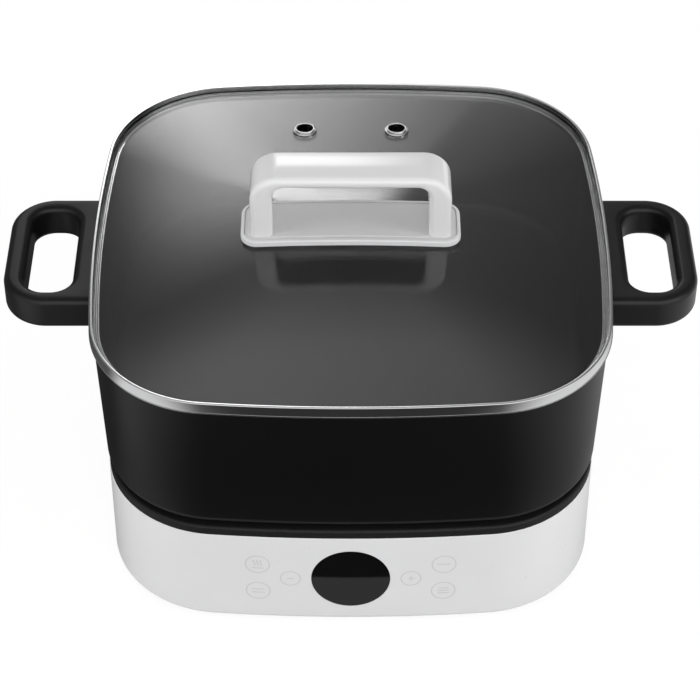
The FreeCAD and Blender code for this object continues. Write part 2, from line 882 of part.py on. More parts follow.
def make_heating_element():
    """Tubular element bent to an open ring, its two tails turned down for the terminals."""
    body = new_body("heating_element")
    sketch = new_sketch(body, "XZ_Plane")
    circle(sketch, s.element_ring, element_level, s.element_radius)
    ring = revolve(body, sketch)
    bind(ring, "Angle", as_size(360) - s.element_gap_angle)
    # Revolution turns from +X; the Placement's turn centres the open stretch on its bearing.
    turn = s.element_bearing + s.element_gap_angle / 2
    body.Placement = Placement(Vector(), Rotation(Vector(0, 0, 1), turn.value))
    body.setExpression("Placement.Rotation.Angle", turn.text)
    for angle in (0.0, -math.radians(s.element_gap_angle.value)):
        x = s.element_ring * math.cos(angle)
        y = s.element_ring * math.sin(angle)
        section_bar(body, x, y, s.element_radius, element_level - s.element_tail, element_level)
    return body


def make_heat_shield():
    """Spun steel pan that hangs from the deck under the plate."""
    radius = s.shield_radius
    stem_hole = s.sensor_stem_radius + s.fit_gap
    body = turned("heat_shield", [
        (stem_hole, shield_under),
        (radius, shield_under),
        (radius, shield_top - s.shield_sheet),
        (radius + s.shield_flange, shield_top - s.shield_sheet),
        (radius + s.shield_flange, shield_top),
        (radius - s.shield_sheet, shield_top),
        (radius - s.shield_sheet, shield_floor),
        (stem_hole, shield_floor),
    ])
    for x, y in plate_bosses_at:
        bore(body, x, y, s.large_screw + s.slip_gap, shield_under, shield_floor)
    for x, y in shield_screws_at:
        low = shield_top - s.shield_sheet
        bore(body, x, y, s.small_screw + s.slip_gap, low, shield_top)
    for x, y in tails_at:
        bore(body, x, y, s.element_radius + s.tail_gap, shield_under, shield_floor)
    return body


def make_plate_spacers():
    """Ceramic sleeves that stand the heating plate off the shield's floor."""
    body = new_body("plate_spacers")
    sketch = new_sketch(body, offset=shield_floor)
    for x, y in plate_bosses_at:
        circle(sketch, x, y, s.plate_boss_radius)
        circle(sketch, x, y, s.large_screw + s.slip_gap)
    pad(body, sketch, plate_under - s.plate_boss_depth - shield_floor)
    return body


# ------------------------------------------------------------------- temperature sensing
guide_bore = s.sensor_stem_radius + s.fit_gap
guide_base_top = shield_floor + s.guide_thick


def make_sensor_guide():
    """Riveted flange with the tube that the sensor's stem slides in."""
    tube = guide_bore + s.guide_wall
    return turned("sensor_guide", [
        (guide_bore, shield_floor),
        (s.guide_flange, shield_floor),
        (s.guide_flange, guide_base_top),
        (tube, guide_base_top),
        (tube, shield_floor + s.guide_height),
        (guide_bore, shield_floor + s.guide_height),
    ])


def make_sensor_cap():
    """Aluminium cup that presses on the pot's underside, with its guiding stem."""
    under = plate_top - s.sensor_thick
    inner = s.sensor_radius - s.sensor_wall
    stem_end = shield_under - s.sensor_stem_reach
    return turned("sensor_cap", [
        (ZERO, stem_end),
        (s.sensor_stem_radius, stem_end),
        (s.sensor_stem_radius, under),
        (inner, under),
        (inner, plate_top - s.sensor_skirt),
        (s.sensor_radius, plate_top - s.sensor_skirt),
        (s.sensor_radius, plate_top),
        (ZERO, plate_top),
    ])


def make_sensor_clip():
    """Retaining ring on the stem that stops the sensor's rise at the shield."""
    inner = s.sensor_stem_radius + s.cast_gap
    top = shield_under - s.sensor_rise
    return turned("sensor_clip", [
        (inner, top - s.clip_thick),
        (inner + s.clip_reach, top - s.clip_thick),
        (inner + s.clip_reach, top),
        (inner, top),
    ])


def make_sensor_spring():
    """Coil spring between the guide's flange and the sensor cup."""
    body = new_body("sensor_spring")
    sketch = new_sketch(body, "XZ_Plane")
    low = guide_base_top + s.spring_wire / 2 + s.cast_gap
    high = plate_top - s.sensor_thick - s.spring_wire / 2 - s.cast_gap
    circle(sketch, s.spring_radius, low, s.spring_wire / 2)
    coil = body.newObject("PartDesign::AdditiveHelix", "sensor_spring_coil")
    coil.Profile = sketch
    coil.ReferenceAxis = (sketch, ["V_Axis"])
    coil.Mode = "height-turns-angle"
    bind(coil, "Height", high - low)
    bind(coil, "Turns", s.spring_turns)
    return body


def make_thermal_cutout():
    """Disc thermostat screwed to the plate's underside, with two terminals."""
    body = new_body("thermal_cutout")
    middle = s.cutout_place
    low = plate_under - s.cutout_depth
    section_bar(body, middle, ZERO, s.cutout_radius, low, plate_under)
    sketch = new_sketch(body, offset=plate_under)
    for side in (-1, 1):
        reach = (s.cutout_radius + s.cutout_ear) * side
        edge = s.tab_width * side
        front = reach if side < 0 else edge
        back = edge if side < 0 else reach
        rectangle(sketch, middle - s.tab_width, front, middle + s.tab_width, back)
    pad(body, sketch, s.clip_thick, reverse=True)
    for x, y in cutout_screws_at:
        low_ear = plate_under - s.clip_thick
        bore(body, x, y, s.small_screw + s.slip_gap, low_ear, plate_under)
    for side in (-1, 1):
        centre = middle + s.tab_width * side
        left = centre - s.tab_thick / 2
        block(
            body, left, -s.tab_width / 2, left + s.tab_thick, s.tab_width / 2,
            low - s.tab_length, low,
        )
    return body


cutout_ear_y = s.cutout_radius + s.cutout_ear / 2
cutout_screws_at = [(s.cutout_place, cutout_ear_y), (s.cutout_place, -cutout_ear_y)]
fuse_axis = plate_under - s.fuse_radius - s.cast_gap
clip_screw_x = -s.cutout_place - s.fuse_radius - s.clip_strap / 2 - s.clip_thick
clip_screws_at = [(clip_screw_x, ZERO)]


def make_thermal_fuse():
    """Sleeved one-shot fuse that lies against the plate's underside."""
    body = new_body("thermal_fuse")
    sketch = new_sketch(body, "XZ_Plane")
    circle(sketch, -s.cutout_place, fuse_axis, s.fuse_radius)
    pad(body, sketch, s.fuse_length, both=True)
    return body


def make_fuse_clip():
    """Bent strap that holds the fuse to the plate."""
    body = new_body("fuse_clip")
    outer = s.fuse_radius + s.cast_gap * 2 + s.clip_thick
    inner = s.fuse_radius + s.cast_gap * 2
    low = fuse_axis - outer
    sketch = new_sketch(body, "XZ_Plane")
    middle = -s.cutout_place
    polygon(sketch, [
        (middle - outer - s.clip_strap, plate_under - s.clip_thick),
        (middle - outer, plate_under - s.clip_thick),
        (middle - outer, low),
        (middle + outer, low),
        (middle + outer, plate_under),
        (middle + inner, plate_under),
        (middle + inner, low + s.clip_thick),
        (middle - inner, low + s.clip_thick),
        (middle - inner, plate_under),
        (middle - outer - s.clip_strap, plate_under),
    ])
    pad(body, sketch, s.clip_strap, both=True)
    for x, y in clip_screws_at:
        low_ear = plate_under - s.clip_thick
        bore(body, x, y, s.small_screw + s.slip_gap, low_ear, plate_under)
    return body


# ----------------------------------------------------------------------- base: electronics
board_post_x = s.board_length / 2 - s.board_margin
board_post_y = s.board_depth / 2 - s.board_margin
board_posts_at = [
    (board_post_x * side, s.board_place + board_post_y * back)
    for side in (-1, 1) for back in (-1, 1)
]


def make_power_board():
    """Power supply and relay board on the cover's posts."""
    body = new_body("power_board")
    half = s.board_length / 2
    front = s.board_place - s.board_depth / 2
    back = s.board_place + s.board_depth / 2
    block(body, -half, front, half, back, board_under, board_top)
    for x, y in board_posts_at:
        bore(body, x, y, s.small_screw + s.slip_gap, board_under, board_top)
    return body


def on_board(name, x, y, length, depth, height):
    """A rectangular component standing on the power board, centred on (x, y)."""
    body = new_body(name)
    left, right = x - length / 2, x + length / 2
    front, back = s.board_place + y - depth / 2, s.board_place + y + depth / 2
    block(body, left, front, right, back, board_top, board_top + height)
    return body


def make_relay():
    """Sealed relay that switches the heating element."""
    body = on_board("relay", s.relay_x, s.relay_y, s.relay_length, s.relay_depth, s.relay_height)
    top = round_edges(body, body.Tip, at_level(board_top + s.relay_height), s.component_round)
    body.Tip = top
    return body


def make_transformer():
    """Switching transformer: ferrite core round a wound bobbin on a pin base."""
    body = on_board(
        "transformer", s.transformer_x, s.transformer_y,
        s.transformer_length, s.transformer_depth, s.transformer_base,
    )
    middle = s.board_place + s.transformer_y
    low = board_top + s.transformer_base
    core = s.transformer_core / 2
    block(
        body, s.transformer_x - s.transformer_length / 2, middle - core,
        s.transformer_x + s.transformer_length / 2, middle + core,
        low, low + s.transformer_height,
    )
    winding = s.transformer_depth / 2
    block(
        body, s.transformer_x - winding, middle - winding,
        s.transformer_x + winding, middle + winding,
        low + s.transformer_base, low + s.transformer_height - s.transformer_base,
    )
    return body


def make_capacitors():
    """Two upright smoothing capacitors."""
    body = new_body("capacitors")
    sketch = new_sketch(body, offset=board_top)
    for step in (0, 1):
        x = s.capacitor_x + s.capacitor_pitch * step
        circle(sketch, x, s.board_place + s.transformer_y, s.capacitor_radius)
    cans = pad(body, sketch, s.capacitor_height)
    top = at_level(board_top + s.capacitor_height)
    body.Tip = round_edges(body, cans, top, s.component_round)
    return body


def make_heat_sink():
    """Extruded fins that cool the power switch."""
    body = on_board(
        "heat_sink", s.sink_x, s.sink_y, s.sink_length, s.sink_web, s.sink_height,
    )
    back = s.board_place + s.sink_y + s.sink_web / 2
    left = s.sink_x - s.sink_length / 2
    sketch = new_sketch(body, offset=board_top)
    rectangle(sketch, left, back - s.cast_gap, left + s.sink_fin, back + s.sink_fin_reach)
    fin = pad(body, sketch, s.sink_height)
    fins = body.newObject("PartDesign::LinearPattern", "heat_sink_fins")
    fins.Originals = [fin]
    fins.Direction = (sketch, ["H_Axis"])
    bind(fins, "Length", s.sink_length - s.sink_fin)
    fins.Occurrences = int(s.sink_fins.value)
    body.Tip = fins
    return body


def make_power_switch():
    """Power semiconductor clamped to the front of the heat sink."""
    front = s.board_place + s.sink_y - s.sink_web / 2
    body = new_body("power_switch")
    half = s.switch_width / 2
    block(
        body, s.sink_x - half, front - s.switch_thick, s.sink_x + half, front,
        board_top + s.switch_leg, board_top + s.switch_leg + s.switch_height,
    )
    for step in (-1, 0, 1):
        x = s.sink_x + s.switch_width / 4 * step
        block(
            body, x - s.tab_thick / 2, front - s.switch_thick / 2 - s.tab_thick / 2,
            x + s.tab_thick / 2, front - s.switch_thick / 2 + s.tab_thick / 2,
            board_top, board_top + s.switch_leg,
        )
    return body


def make_terminal_block():
    """Screw terminals for the mains and element leads."""
    body = on_board(
        "terminal_block", s.terminal_x, s.sink_y,
        s.terminal_length, s.terminal_depth, s.terminal_height,
    )
    top = board_top + s.terminal_height
    front = s.board_place + s.sink_y - s.terminal_depth / 2
    step_back = front + s.terminal_depth / 2
    half = s.terminal_length / 2
    sketch = new_sketch(body, offset=top)
    rectangle(sketch, s.terminal_x - half, front, s.terminal_x + half, step_back)
    pocket(body, sketch, s.terminal_step)
    return body


def make_control_board():
    """Touch and display board behind the front wall."""
    body = new_body("control_board")
    half = s.control_length / 2
    sketch = new_sketch(body, "XZ_Plane", control_face)
    rectangle(
        sketch, -half, s.display_height - s.control_height / 2,
        half, s.display_height + s.control_height / 2,
    )
    for x, z in control_posts_at:
        circle(sketch, x, z, s.small_screw + s.slip_gap)
    pad(body, sketch, s.board_thick, reverse=True)
    return body


def make_display_module():
    """Segment display on the control board, behind the round window."""
    body = new_body("display_module")
    sketch = new_sketch(body, "XZ_Plane", control_face)
    rectangle(
        sketch, -s.module_half, s.display_height - s.module_half_height,
        s.module_half, s.display_height + s.module_half_height,
    )
    pad(body, sketch, s.module_thick)
    return body


def make_display_window():
    """Round gloss-black window, cut to the housing's own curved wall."""
    body = new_body("display_window")
    sketch = new_sketch(body, "XZ_Plane", control_face)
    circle(sketch, ZERO, s.display_height, s.display_radius)
    pad(body, sketch, s.plan_half - control_face)
    for inset, inside in ((housing_inner, True), (s.housing_inset, False)):
        sketch = new_sketch(body, offset=base_top)
        rounded_square(sketch, inset)
        if not inside:
            rectangle(sketch, -s.plan_half * 2, -s.plan_half * 2, s.plan_half * 2, s.plan_half * 2)
        pocket(body, sketch, s.housing_height)
    return body


keys_at = [
    (s.key_outer_x, s.key_high), (s.key_outer_x, s.key_low), (s.key_inner_x, s.key_middle),
    (-s.key_outer_x, s.key_high), (-s.key_outer_x, s.key_low), (-s.key_inner_x, s.key_middle),
]


def make_touch_contacts():
    """Six sprung contacts that carry the touch keys' fields to the housing's wall."""
    body = new_body("touch_contacts")
    levels = (
        (control_face, s.key_radius, s.key_disc),
        (control_face + s.key_disc, s.key_waist, s.key_reach - s.key_disc * 2),
        (control_face + s.key_reach - s.key_disc, s.key_radius, s.key_disc),
    )
    for offset, radius, length in levels:
        sketch = new_sketch(body, "XZ_Plane", offset)
        for x, z in keys_at:
            circle(sketch, x, z, radius)
        pad(body, sketch, length)
    return body


def make_buzzer():
    """Round buzzer on the back of the control board."""
    body = new_body("buzzer")
    sketch = new_sketch(body, "XZ_Plane", control_face - s.board_thick)
    circle(sketch, s.buzzer_x, s.display_height, s.buzzer_radius)
    circle(sketch, s.buzzer_x, s.display_height, s.buzzer_hole)
    pad(body, sketch, s.buzzer_height, reverse=True)
    return body


# ------------------------------------------------------------------------- base: inlet
inlet_face = wall_outside - s.inlet_recess
inlet_back = inlet_face - s.inlet_depth


def inlet_outline(sketch, gap=ZERO):
    """The inlet's rounded face, grown by gap."""
    gap = as_size(gap)
    rounded_rectangle(
        sketch,
        -s.inlet_width / 2 - gap,
        s.inlet_height - s.inlet_tall / 2 - gap,
        s.inlet_width / 2 + gap,
        s.inlet_height + s.inlet_tall / 2 + gap,
        s.inlet_round,
    )


pins_at = [
    (-s.pin_spacing / 2, s.inlet_height - s.pin_drop / 2),
    (ZERO, s.inlet_height + s.pin_drop / 2),
    (s.pin_spacing / 2, s.inlet_height - s.pin_drop / 2),
]


def pin_outlines(sketch, gap=ZERO):
    """The three blades' cross-sections, grown by gap."""
    for x, z in pins_at:
        half = s.pin_thick / 2 + gap
        tall = s.pin_width / 2 + gap
        rectangle(sketch, x - half, z - tall, x + half, z + tall)


def make_power_inlet():
    """Three-pin appliance inlet with an ear each side, let through the back wall."""
    body = new_body("power_inlet")
    sketch = new_sketch(body, "XZ_Plane", -inlet_face)
    inlet_outline(sketch)
    pad(body, sketch, s.inlet_depth + s.inlet_wall)
    sketch = new_sketch(body, "XZ_Plane", -inlet_seat)
    half = s.inlet_width / 2 + s.inlet_ear
    rounded_rectangle(
        sketch, -half, s.inlet_height - s.inlet_tall / 2, half,
        s.inlet_height + s.inlet_tall / 2, s.inlet_round,
    )
    for x, z in inlet_ears_at:
        circle(sketch, x, z, s.small_screw + s.slip_gap)
    pad(body, sketch, s.inlet_flange)
    sketch = new_sketch(body, "XZ_Plane", -inlet_face)
    inlet_outline(sketch, -s.inlet_wall)
    pocket(body, sketch, s.inlet_depth, reverse=True)
    sketch = new_sketch(body, "XZ_Plane", -inlet_back)
    pin_outlines(sketch, s.cast_gap)
    pocket(body, sketch, s.inlet_wall, reverse=True)
    return body


def make_inlet_pins():
    """Three blades through the inlet's back wall, with tails for the leads."""
    body = new_body("inlet_pins")
    sketch = new_sketch(body, "XZ_Plane", -(inlet_back + s.pin_length))
    pin_outlines(sketch)
    pad(body, sketch, s.pin_length + s.inlet_wall + s.tab_length)
    return body


# ------------------------------------------------------------------------------------ pot
handle_middle = handle_top - s.handle_thick / 2
handle_hole_start = s.plan_half + s.handle_root
handle_hole_end = handle_hole_start + s.handle_hole
handle_reach = handle_hole_end + s.handle_bar
handle_hole_corner = s.handle_hole / 2 - s.handle_hole_flat
lug_end = s.plan_half + s.lug_reach
socket_end = lug_end + s.fit_gap
handle_screw_x = s.plan_half + s.lug_reach / 2
handle_screw_seat = handle_under + s.large_head_height + s.slip_gap
lug_under = handle_middle - s.lug_thick / 2
lug_thread_top = lug_under + s.lug_thread


def lofted(body, kind, sections):
    """Loft through plan outlines given as (level, inset, scale)."""
    sketches = []
    for level, inset, scale in sections:
        sketch = new_sketch(body, offset=level)
        rounded_square(sketch, inset, scale)
        sketches.append(sketch)
    loft = body.newObject(f"PartDesign::{kind}Loft", f"{body.Label}_{kind.lower()}_loft")
    loft.Profile = sketches[0]
    loft.Sections = sketches[1:]
    return loft


def draft(feature, sign):
    """Lean the walls of a pad or pocket by the pot's draft; sign 1 widens with its length."""
    lean = s.pot_draft / s.pot_height
    feature.TaperAngle = sign * math.degrees(math.atan(lean.value))
    feature.setExpression("TaperAngle", f"{sign} * atan({lean.text})")


def to_side(side, near, far):
    """The left and right limits of a span from near to far on the +X or the -X side."""
    return (near, far) if side > 0 else (-far, -near)


def make_pot_body():
    """Cast pot: drafted outside and inside, rounded at the foot, with a lug at each side."""
    body = new_body("pot_body")
    sketch = new_sketch(body, offset=plate_top)
    rounded_square(sketch, s.pot_draft)
    outside = pad(body, sketch, s.pot_height)
    draft(outside, 1)
    round_edges(body, outside, at_level(plate_top), s.pot_foot_round)
    for side in (-1, 1):
        left, right = to_side(side, s.plan_half - s.pot_wall / 2, lug_end)
        block(body, left, -s.lug_half, right, s.lug_half, lug_under, lug_under + s.lug_thick)
    sketch = new_sketch(body, offset=pot_top)
    rounded_square(sketch, s.pot_wall)
    inside = pocket(body, sketch, s.pot_height - s.pot_floor)
    draft(inside, -1)
    inside = round_edges(body, inside, at_level(pot_inner_floor), s.pot_inner_round)
    round_edges(body, inside, at_level(pot_top), s.pot_lip_round)
    for side in (-1, 1):
        for spread in (-1, 1):
            x = handle_screw_x * side
            y = s.handle_screw_spread * spread
            bore(body, x, y, s.large_screw + s.cast_gap, lug_under, lug_thread_top)
    return body


def make_pot_handle(name, side):
    """Phenolic loop handle that slides over the pot's lug; side is 1 or -1."""
    body = new_body(name)
    sketch = new_sketch(body, offset=handle_under)
    left, right = to_side(side, s.plan_half - s.handle_half, handle_reach)
    rounded_rectangle(sketch, left, -s.handle_half, right, s.handle_half, s.handle_outer_corner)
    pad(body, sketch, s.handle_thick)
    sketch = new_sketch(body, offset=handle_top)
    left, right = to_side(side, handle_hole_start, handle_hole_end)
    half_hole = s.handle_half - s.handle_arm
    rounded_rectangle(sketch, left, -half_hole, right, half_hole, handle_hole_corner)
    pocket(body, sketch, s.handle_thick)
    sketch = new_sketch(body, offset=handle_top)
    rounded_square(sketch, -s.fit_gap)
    loop = pocket(body, sketch, s.handle_thick)

    def level_edge(edge):
        if reach_across(edge) < lug_end.value - s.handle_round.value:
            return False
        return at_level(handle_top)(edge) or at_level(handle_under)(edge)

    round_edges(body, loop, level_edge, s.handle_round)
    sketch = new_sketch(body, "YZ_Plane", socket_end * side)
    half = s.lug_half + s.slip_gap
    tall = s.lug_thick / 2 + s.slip_gap
    rectangle(sketch, -half, handle_middle - tall, half, handle_middle + tall)
    pocket(body, sketch, s.lug_reach + s.fit_gap, reverse=side < 0)
    for spread in (-1, 1):
        x = handle_screw_x * side
        y = s.handle_screw_spread * spread
        bore(body, x, y, s.large_screw + s.slip_gap, handle_under, handle_middle)
        bore(body, x, y, s.large_head + s.slip_gap, handle_under, handle_screw_seat)
    return body


def reach_across(edge):
    """The largest |x| along the edge."""
    box = edge.BoundBox
    return max(abs(box.XMin), abs(box.XMax))


# ------------------------------------------------------------------------------------ lid
glass_scale = as_size(1) - s.glass_inset / s.plan_half
glass_half = s.plan_half - s.glass_inset
dome_radius = glass_half * glass_half / (s.dome_rise * 2)
dome_centre = dome_top - dome_radius
rim_inner = s.plan_half - s.rim_flange
# The dome's sections, as shares of the plan outline, from near the rim to the flat crown.
DOME_SHARES = (0.93, 0.75, 0.5, 0.1)


def dome_level(share):
    """Height of the dome's outside where the plan outline is shrunk to share."""
    ratio = as_size(share) / glass_scale
    return dome_top - s.dome_rise * ratio * ratio


def make_lid_glass():
    """Tempered glass: a flat-edged shallow dome of even thickness, drilled for its fittings."""
    body = new_body("lid_glass")
    sketch = new_sketch(body, offset=glass_under)
    rounded_square(sketch, ZERO, glass_scale)
    pad(body, sketch, s.glass_thick)
    outer = [(dome_level(share), ZERO, as_size(share)) for share in DOME_SHARES]
    lofted(body, "Additive", [(glass_edge, ZERO, glass_scale)] + outer)
    seat_scale = rim_inner / s.plan_half
    inner = [(level - s.glass_thick, inset, share) for level, inset, share in outer]
    lofted(body, "Subtractive", [(glass_under, ZERO, seat_scale)] + inner)
    for side in (-1, 1):
        bore(body, s.vent_spread * side, s.vent_back, s.vent_hole, glass_under, seat_top)
    for x, y in lid_screws_at:
        bore(body, x, y, s.glass_hole, glass_under, seat_top)
    return body


def make_lid_rim():
    """Rolled steel rim: flange on the pot's lip, skirt outside it, and a proud ridge round the glass."""
    body = new_body("lid_rim")
    path = new_sketch(body)
    rounded_square(path)
    profile = new_sketch(body, "XZ_Plane")
    outer = s.plan_half + s.rim_overhang
    ridge = s.plan_half + s.rim_ridge_reach
    groove = glass_half + s.slip_gap
    hem = pot_top + s.rim_hem_rise
    skirt_top = hem + s.rim_skirt
    polygon(profile, [
        (outer, hem),
        (outer, skirt_top),
        (ridge, skirt_top + s.rim_shoulder),
        (ridge, rim_top - s.rim_round),
        (ridge - s.rim_round, rim_top),
        (groove + s.rim_round, rim_top),
        (groove, rim_top - s.rim_round),
        (groove, glass_under),
        (rim_inner, glass_under),
        (rim_inner, rim_under),
        (outer - s.rim_skirt_wall, rim_under),
        (outer - s.rim_skirt_wall, hem),
    ])
    sweep = body.newObject("PartDesign::AdditivePipe", "lid_rim_sweep")
    sweep.Profile = profile
    sweep.Spine = (path, [])
    return body


def vent_turn():
    """Height of the dome at the vents, and the turn that stands a vent square to it."""
    x, y = s.vent_spread.value, s.vent_back.value
    reach, radius = centre_reach.value, s.side_radius.value
    # share solves hypot(x, y + reach * share) = radius * share on the back side arc.
    a = radius * radius - reach * reach
    b = -2 * reach * y
    c = -(x * x + y * y)
    share = (-b + math.sqrt(b * b - 4 * a * c)) / (2 * a)
    growth = (y + reach * share) / (radius * radius * share - reach * (y + reach * share))
    ratio = share / glass_scale.value
    height = dome_top.value - s.dome_rise.value * ratio * ratio
    slope = 2 * s.dome_rise.value * ratio * growth / glass_scale.value
    return height, Rotation(Vector(1, 0, 0), -math.degrees(math.atan(slope)))


def make_steam_vent(name, side):
    """Steel eyelet rolled over both faces of the glass, square to the dome."""
    neck = s.vent_bore + s.vent_neck
    low = -s.glass_thick - s.fit_gap
    body = turned(name, [
        (s.vent_bore, low - s.vent_under_thick),
        (s.vent_under, low - s.vent_under_thick),
        (s.vent_under, low),
        (neck, low),
        (neck, s.slip_gap),
        (s.vent_flange, s.slip_gap),
        (s.vent_flange - s.vent_neck, s.vent_flange_thick),
        (s.vent_bore + s.vent_neck, s.vent_flange_thick),
        (s.vent_bore, s.vent_flange_thick - s.vent_neck),
    ])
    height, turn = vent_turn()
    body.Placement = Placement(
        Vector(s.vent_spread.value * side, s.vent_back.value, height), turn,
    )
    return body


def bent_strip(sketch, low_radius, high_radius, half):
    """Close a strip between two arcs that are concentric with the dome, cut at x = +-half."""
    low_radius, high_radius = as_size(low_radius), as_size(high_radius)
    first = sketch.GeometryCount
    centre = dome_centre.value
    ends = []
    for radius in (low_radius.value, high_radius.value):
        height = centre + math.sqrt(radius * radius - half.value * half.value)
        spread = math.asin(half.value / radius)
        arc(sketch, (0, centre), radius, math.pi / 2 - spread, math.pi / 2 + spread)
        ends.append(height)
    line(sketch, (half.value, ends[0]), (half.value, ends[1]))
    line(sketch, (-half.value, ends[1]), (-half.value, ends[0]))
    low, high, right, left = first, first + 1, first + 2, first + 3
    for one, one_end, other, other_end in (
        (right, 1, low, 1), (right, 2, high, 1), (left, 1, high, 2), (left, 2, low, 2),
    ):
        sketch.addConstraint(Sketcher.Constraint("Coincident", one, one_end, other, other_end))
    pin(sketch, low, 3, ZERO, dome_centre)
    sketch.addConstraint(Sketcher.Constraint("Coincident", high, 3, low, 3))
    dimension(sketch, "Radius", low, low_radius)
    dimension(sketch, "Radius", high, high_radius)
    sketch.addConstraint(Sketcher.Constraint("Vertical", right))
    sketch.addConstraint(Sketcher.Constraint("Vertical", left))
    dimension(sketch, "DistanceX", -1, 1, right, 1, half)
    dimension(sketch, "DistanceX", -1, 1, left, 1, -half)


gasket_low = dome_radius + s.slip_gap
gasket_high = dome_radius + s.gasket_thick
seat_high = gasket_high + s.seat_thick


def trim_to_oblong(body, inset):
    """Cut away what lies outside the handle base's rounded oblong, seen from above."""
    sketch = new_sketch(body, offset=seat_top + s.seat_thick)
    oblong(sketch, inset)
    far = s.seat_half * 2
    rectangle(sketch, -far, -far, far, far)
    return pocket(body, sketch, s.seat_thick + s.bridge_height)


def oblong(sketch, inset):
    """The handle base's rounded oblong, drawn in by inset."""
    half = s.seat_half - inset
    deep = s.seat_half_depth - inset
    rounded_rectangle(sketch, -half, -deep, half, deep, s.seat_corner - inset)


def strip_pad(body, low_radius, high_radius):
    """Pad a strip of the dome's curvature right across the handle base."""
    sketch = new_sketch(body, "XZ_Plane")
    bent_strip(sketch, low_radius, high_radius, s.seat_half + s.seat_round)
    return pad(body, sketch, s.seat_half_depth * 2 + s.seat_round, both=True)


def make_handle_gasket():
    """Grey silicone tray between the glass and the handle's base plate."""
    body = new_body("handle_gasket")
    strip_pad(body, gasket_low, seat_high)
    sketch = new_sketch(body, offset=seat_top + s.seat_thick)
    oblong(sketch, s.gasket_rim)
    pocket(body, sketch, s.seat_thick + s.bridge_height)
    strip_pad(body, gasket_low, gasket_high)
    tray = trim_to_oblong(body, ZERO)
    body.Tip = round_edges(body, tray, on_cylinder(seat_high, s.seat_half), s.seat_round)
    drill_base(body)
    return body


def on_cylinder(radius, reach):
    """Pick the outer edges that lie on the cylinder of this radius about the dome's centre."""
    def wanted(edge):
        far = 0.0
        for fraction in (0.0, 0.5, 1.0):
            span = edge.LastParameter - edge.FirstParameter
            point = edge.valueAt(edge.FirstParameter + span * fraction)
            height = point.z - dome_centre.value
            if abs(math.hypot(point.x, height) - radius.value) > 0.02:
                return False
            far = max(far, abs(point.x) / reach.value, abs(point.y) / s.seat_half_depth.value)
        return far > 0.97
    return wanted


def drill_base(body):
    """Holes for the two handle screws."""
    for x, y in lid_screws_at:
        bore(body, x, y, s.small_screw + s.slip_gap, glass_edge, seat_top + s.seat_thick)


def make_handle_seat():
    """Grey base plate with a ledge round it that the bridge handle stands on, let into the gasket."""
    body = new_body("handle_seat")
    strip_pad(body, gasket_high, seat_high)
    trim_to_oblong(body, s.gasket_rim + s.fit_gap + s.seat_ledge)
    strip_pad(body, gasket_high, seat_high - s.seat_ledge_drop)
    trim_to_oblong(body, s.gasket_rim + s.fit_gap)
    drill_base(body)
    return body


def make_lid_handle():
    """White bridge handle: a flat bar on two legs with softened edges."""
    body = new_body("lid_handle")
    sketch = new_sketch(body, "XZ_Plane")
    low = glass_edge - s.bridge_height
    inner_half = s.bridge_half - s.bridge_leg
    deep = s.bridge_half_depth
    rounded_rectangle(sketch, -s.bridge_half, low, s.bridge_half, bridge_top, s.bridge_corner)
    rounded_rectangle(
        sketch, -inner_half, low + s.bridge_bar, inner_half, bridge_top - s.bridge_bar,
        s.bridge_inner_corner,
    )
    pad(body, sketch, deep * 2, both=True)
    sketch = new_sketch(body, "XZ_Plane")
    bent_strip(sketch, dome_radius - s.bridge_height * 2, seat_high, s.bridge_half + s.seat_round)
    legs = pocket(body, sketch, deep * 4, both=True)

    def face_edge(edge):
        box = edge.BoundBox
        on_face = box.YMax - box.YMin < 0.01 and abs(abs(box.YMin) - deep.value) < 0.01
        return on_face and box.ZMax > seat_top.value + 0.01

    def outer_edge(edge):
        box = edge.BoundBox
        outside = max(abs(box.XMin), abs(box.XMax)) > inner_half.value + 0.01
        crown = box.ZMin > (bridge_top - s.bridge_bar).value + 0.01
        return face_edge(edge) and (outside or crown)

    def inner_edge(edge):
        return face_edge(edge) and not outer_edge(edge)

    legs = round_edges(body, legs, outer_edge, s.bridge_round)
    body.Tip = round_edges(body, legs, inner_edge, s.bridge_inner_round)
    for x, y in lid_screws_at:
        bore(body, x, y, s.insert_radius + s.cast_gap, glass_edge, insert_top)
    return body


screw_drop = s.lid_screw_place * s.lid_screw_place / (dome_radius * 2)
insert_low = seat_top - screw_drop + s.fit_gap
insert_top = insert_low + s.insert_length
washer_top = dome_top - s.glass_thick - screw_drop - s.fit_gap * 2
lid_screws_at = [(s.lid_screw_place, ZERO), (-s.lid_screw_place, ZERO)]


def lid_rings(name, inner, outer, low, high):
    """A pair of rings round the two handle screws."""
    body = new_body(name)
    sketch = new_sketch(body, offset=low)
    for x, y in lid_screws_at:
        circle(sketch, x, y, outer)
        circle(sketch, x, y, inner)
    pad(body, sketch, high - low)
    return body


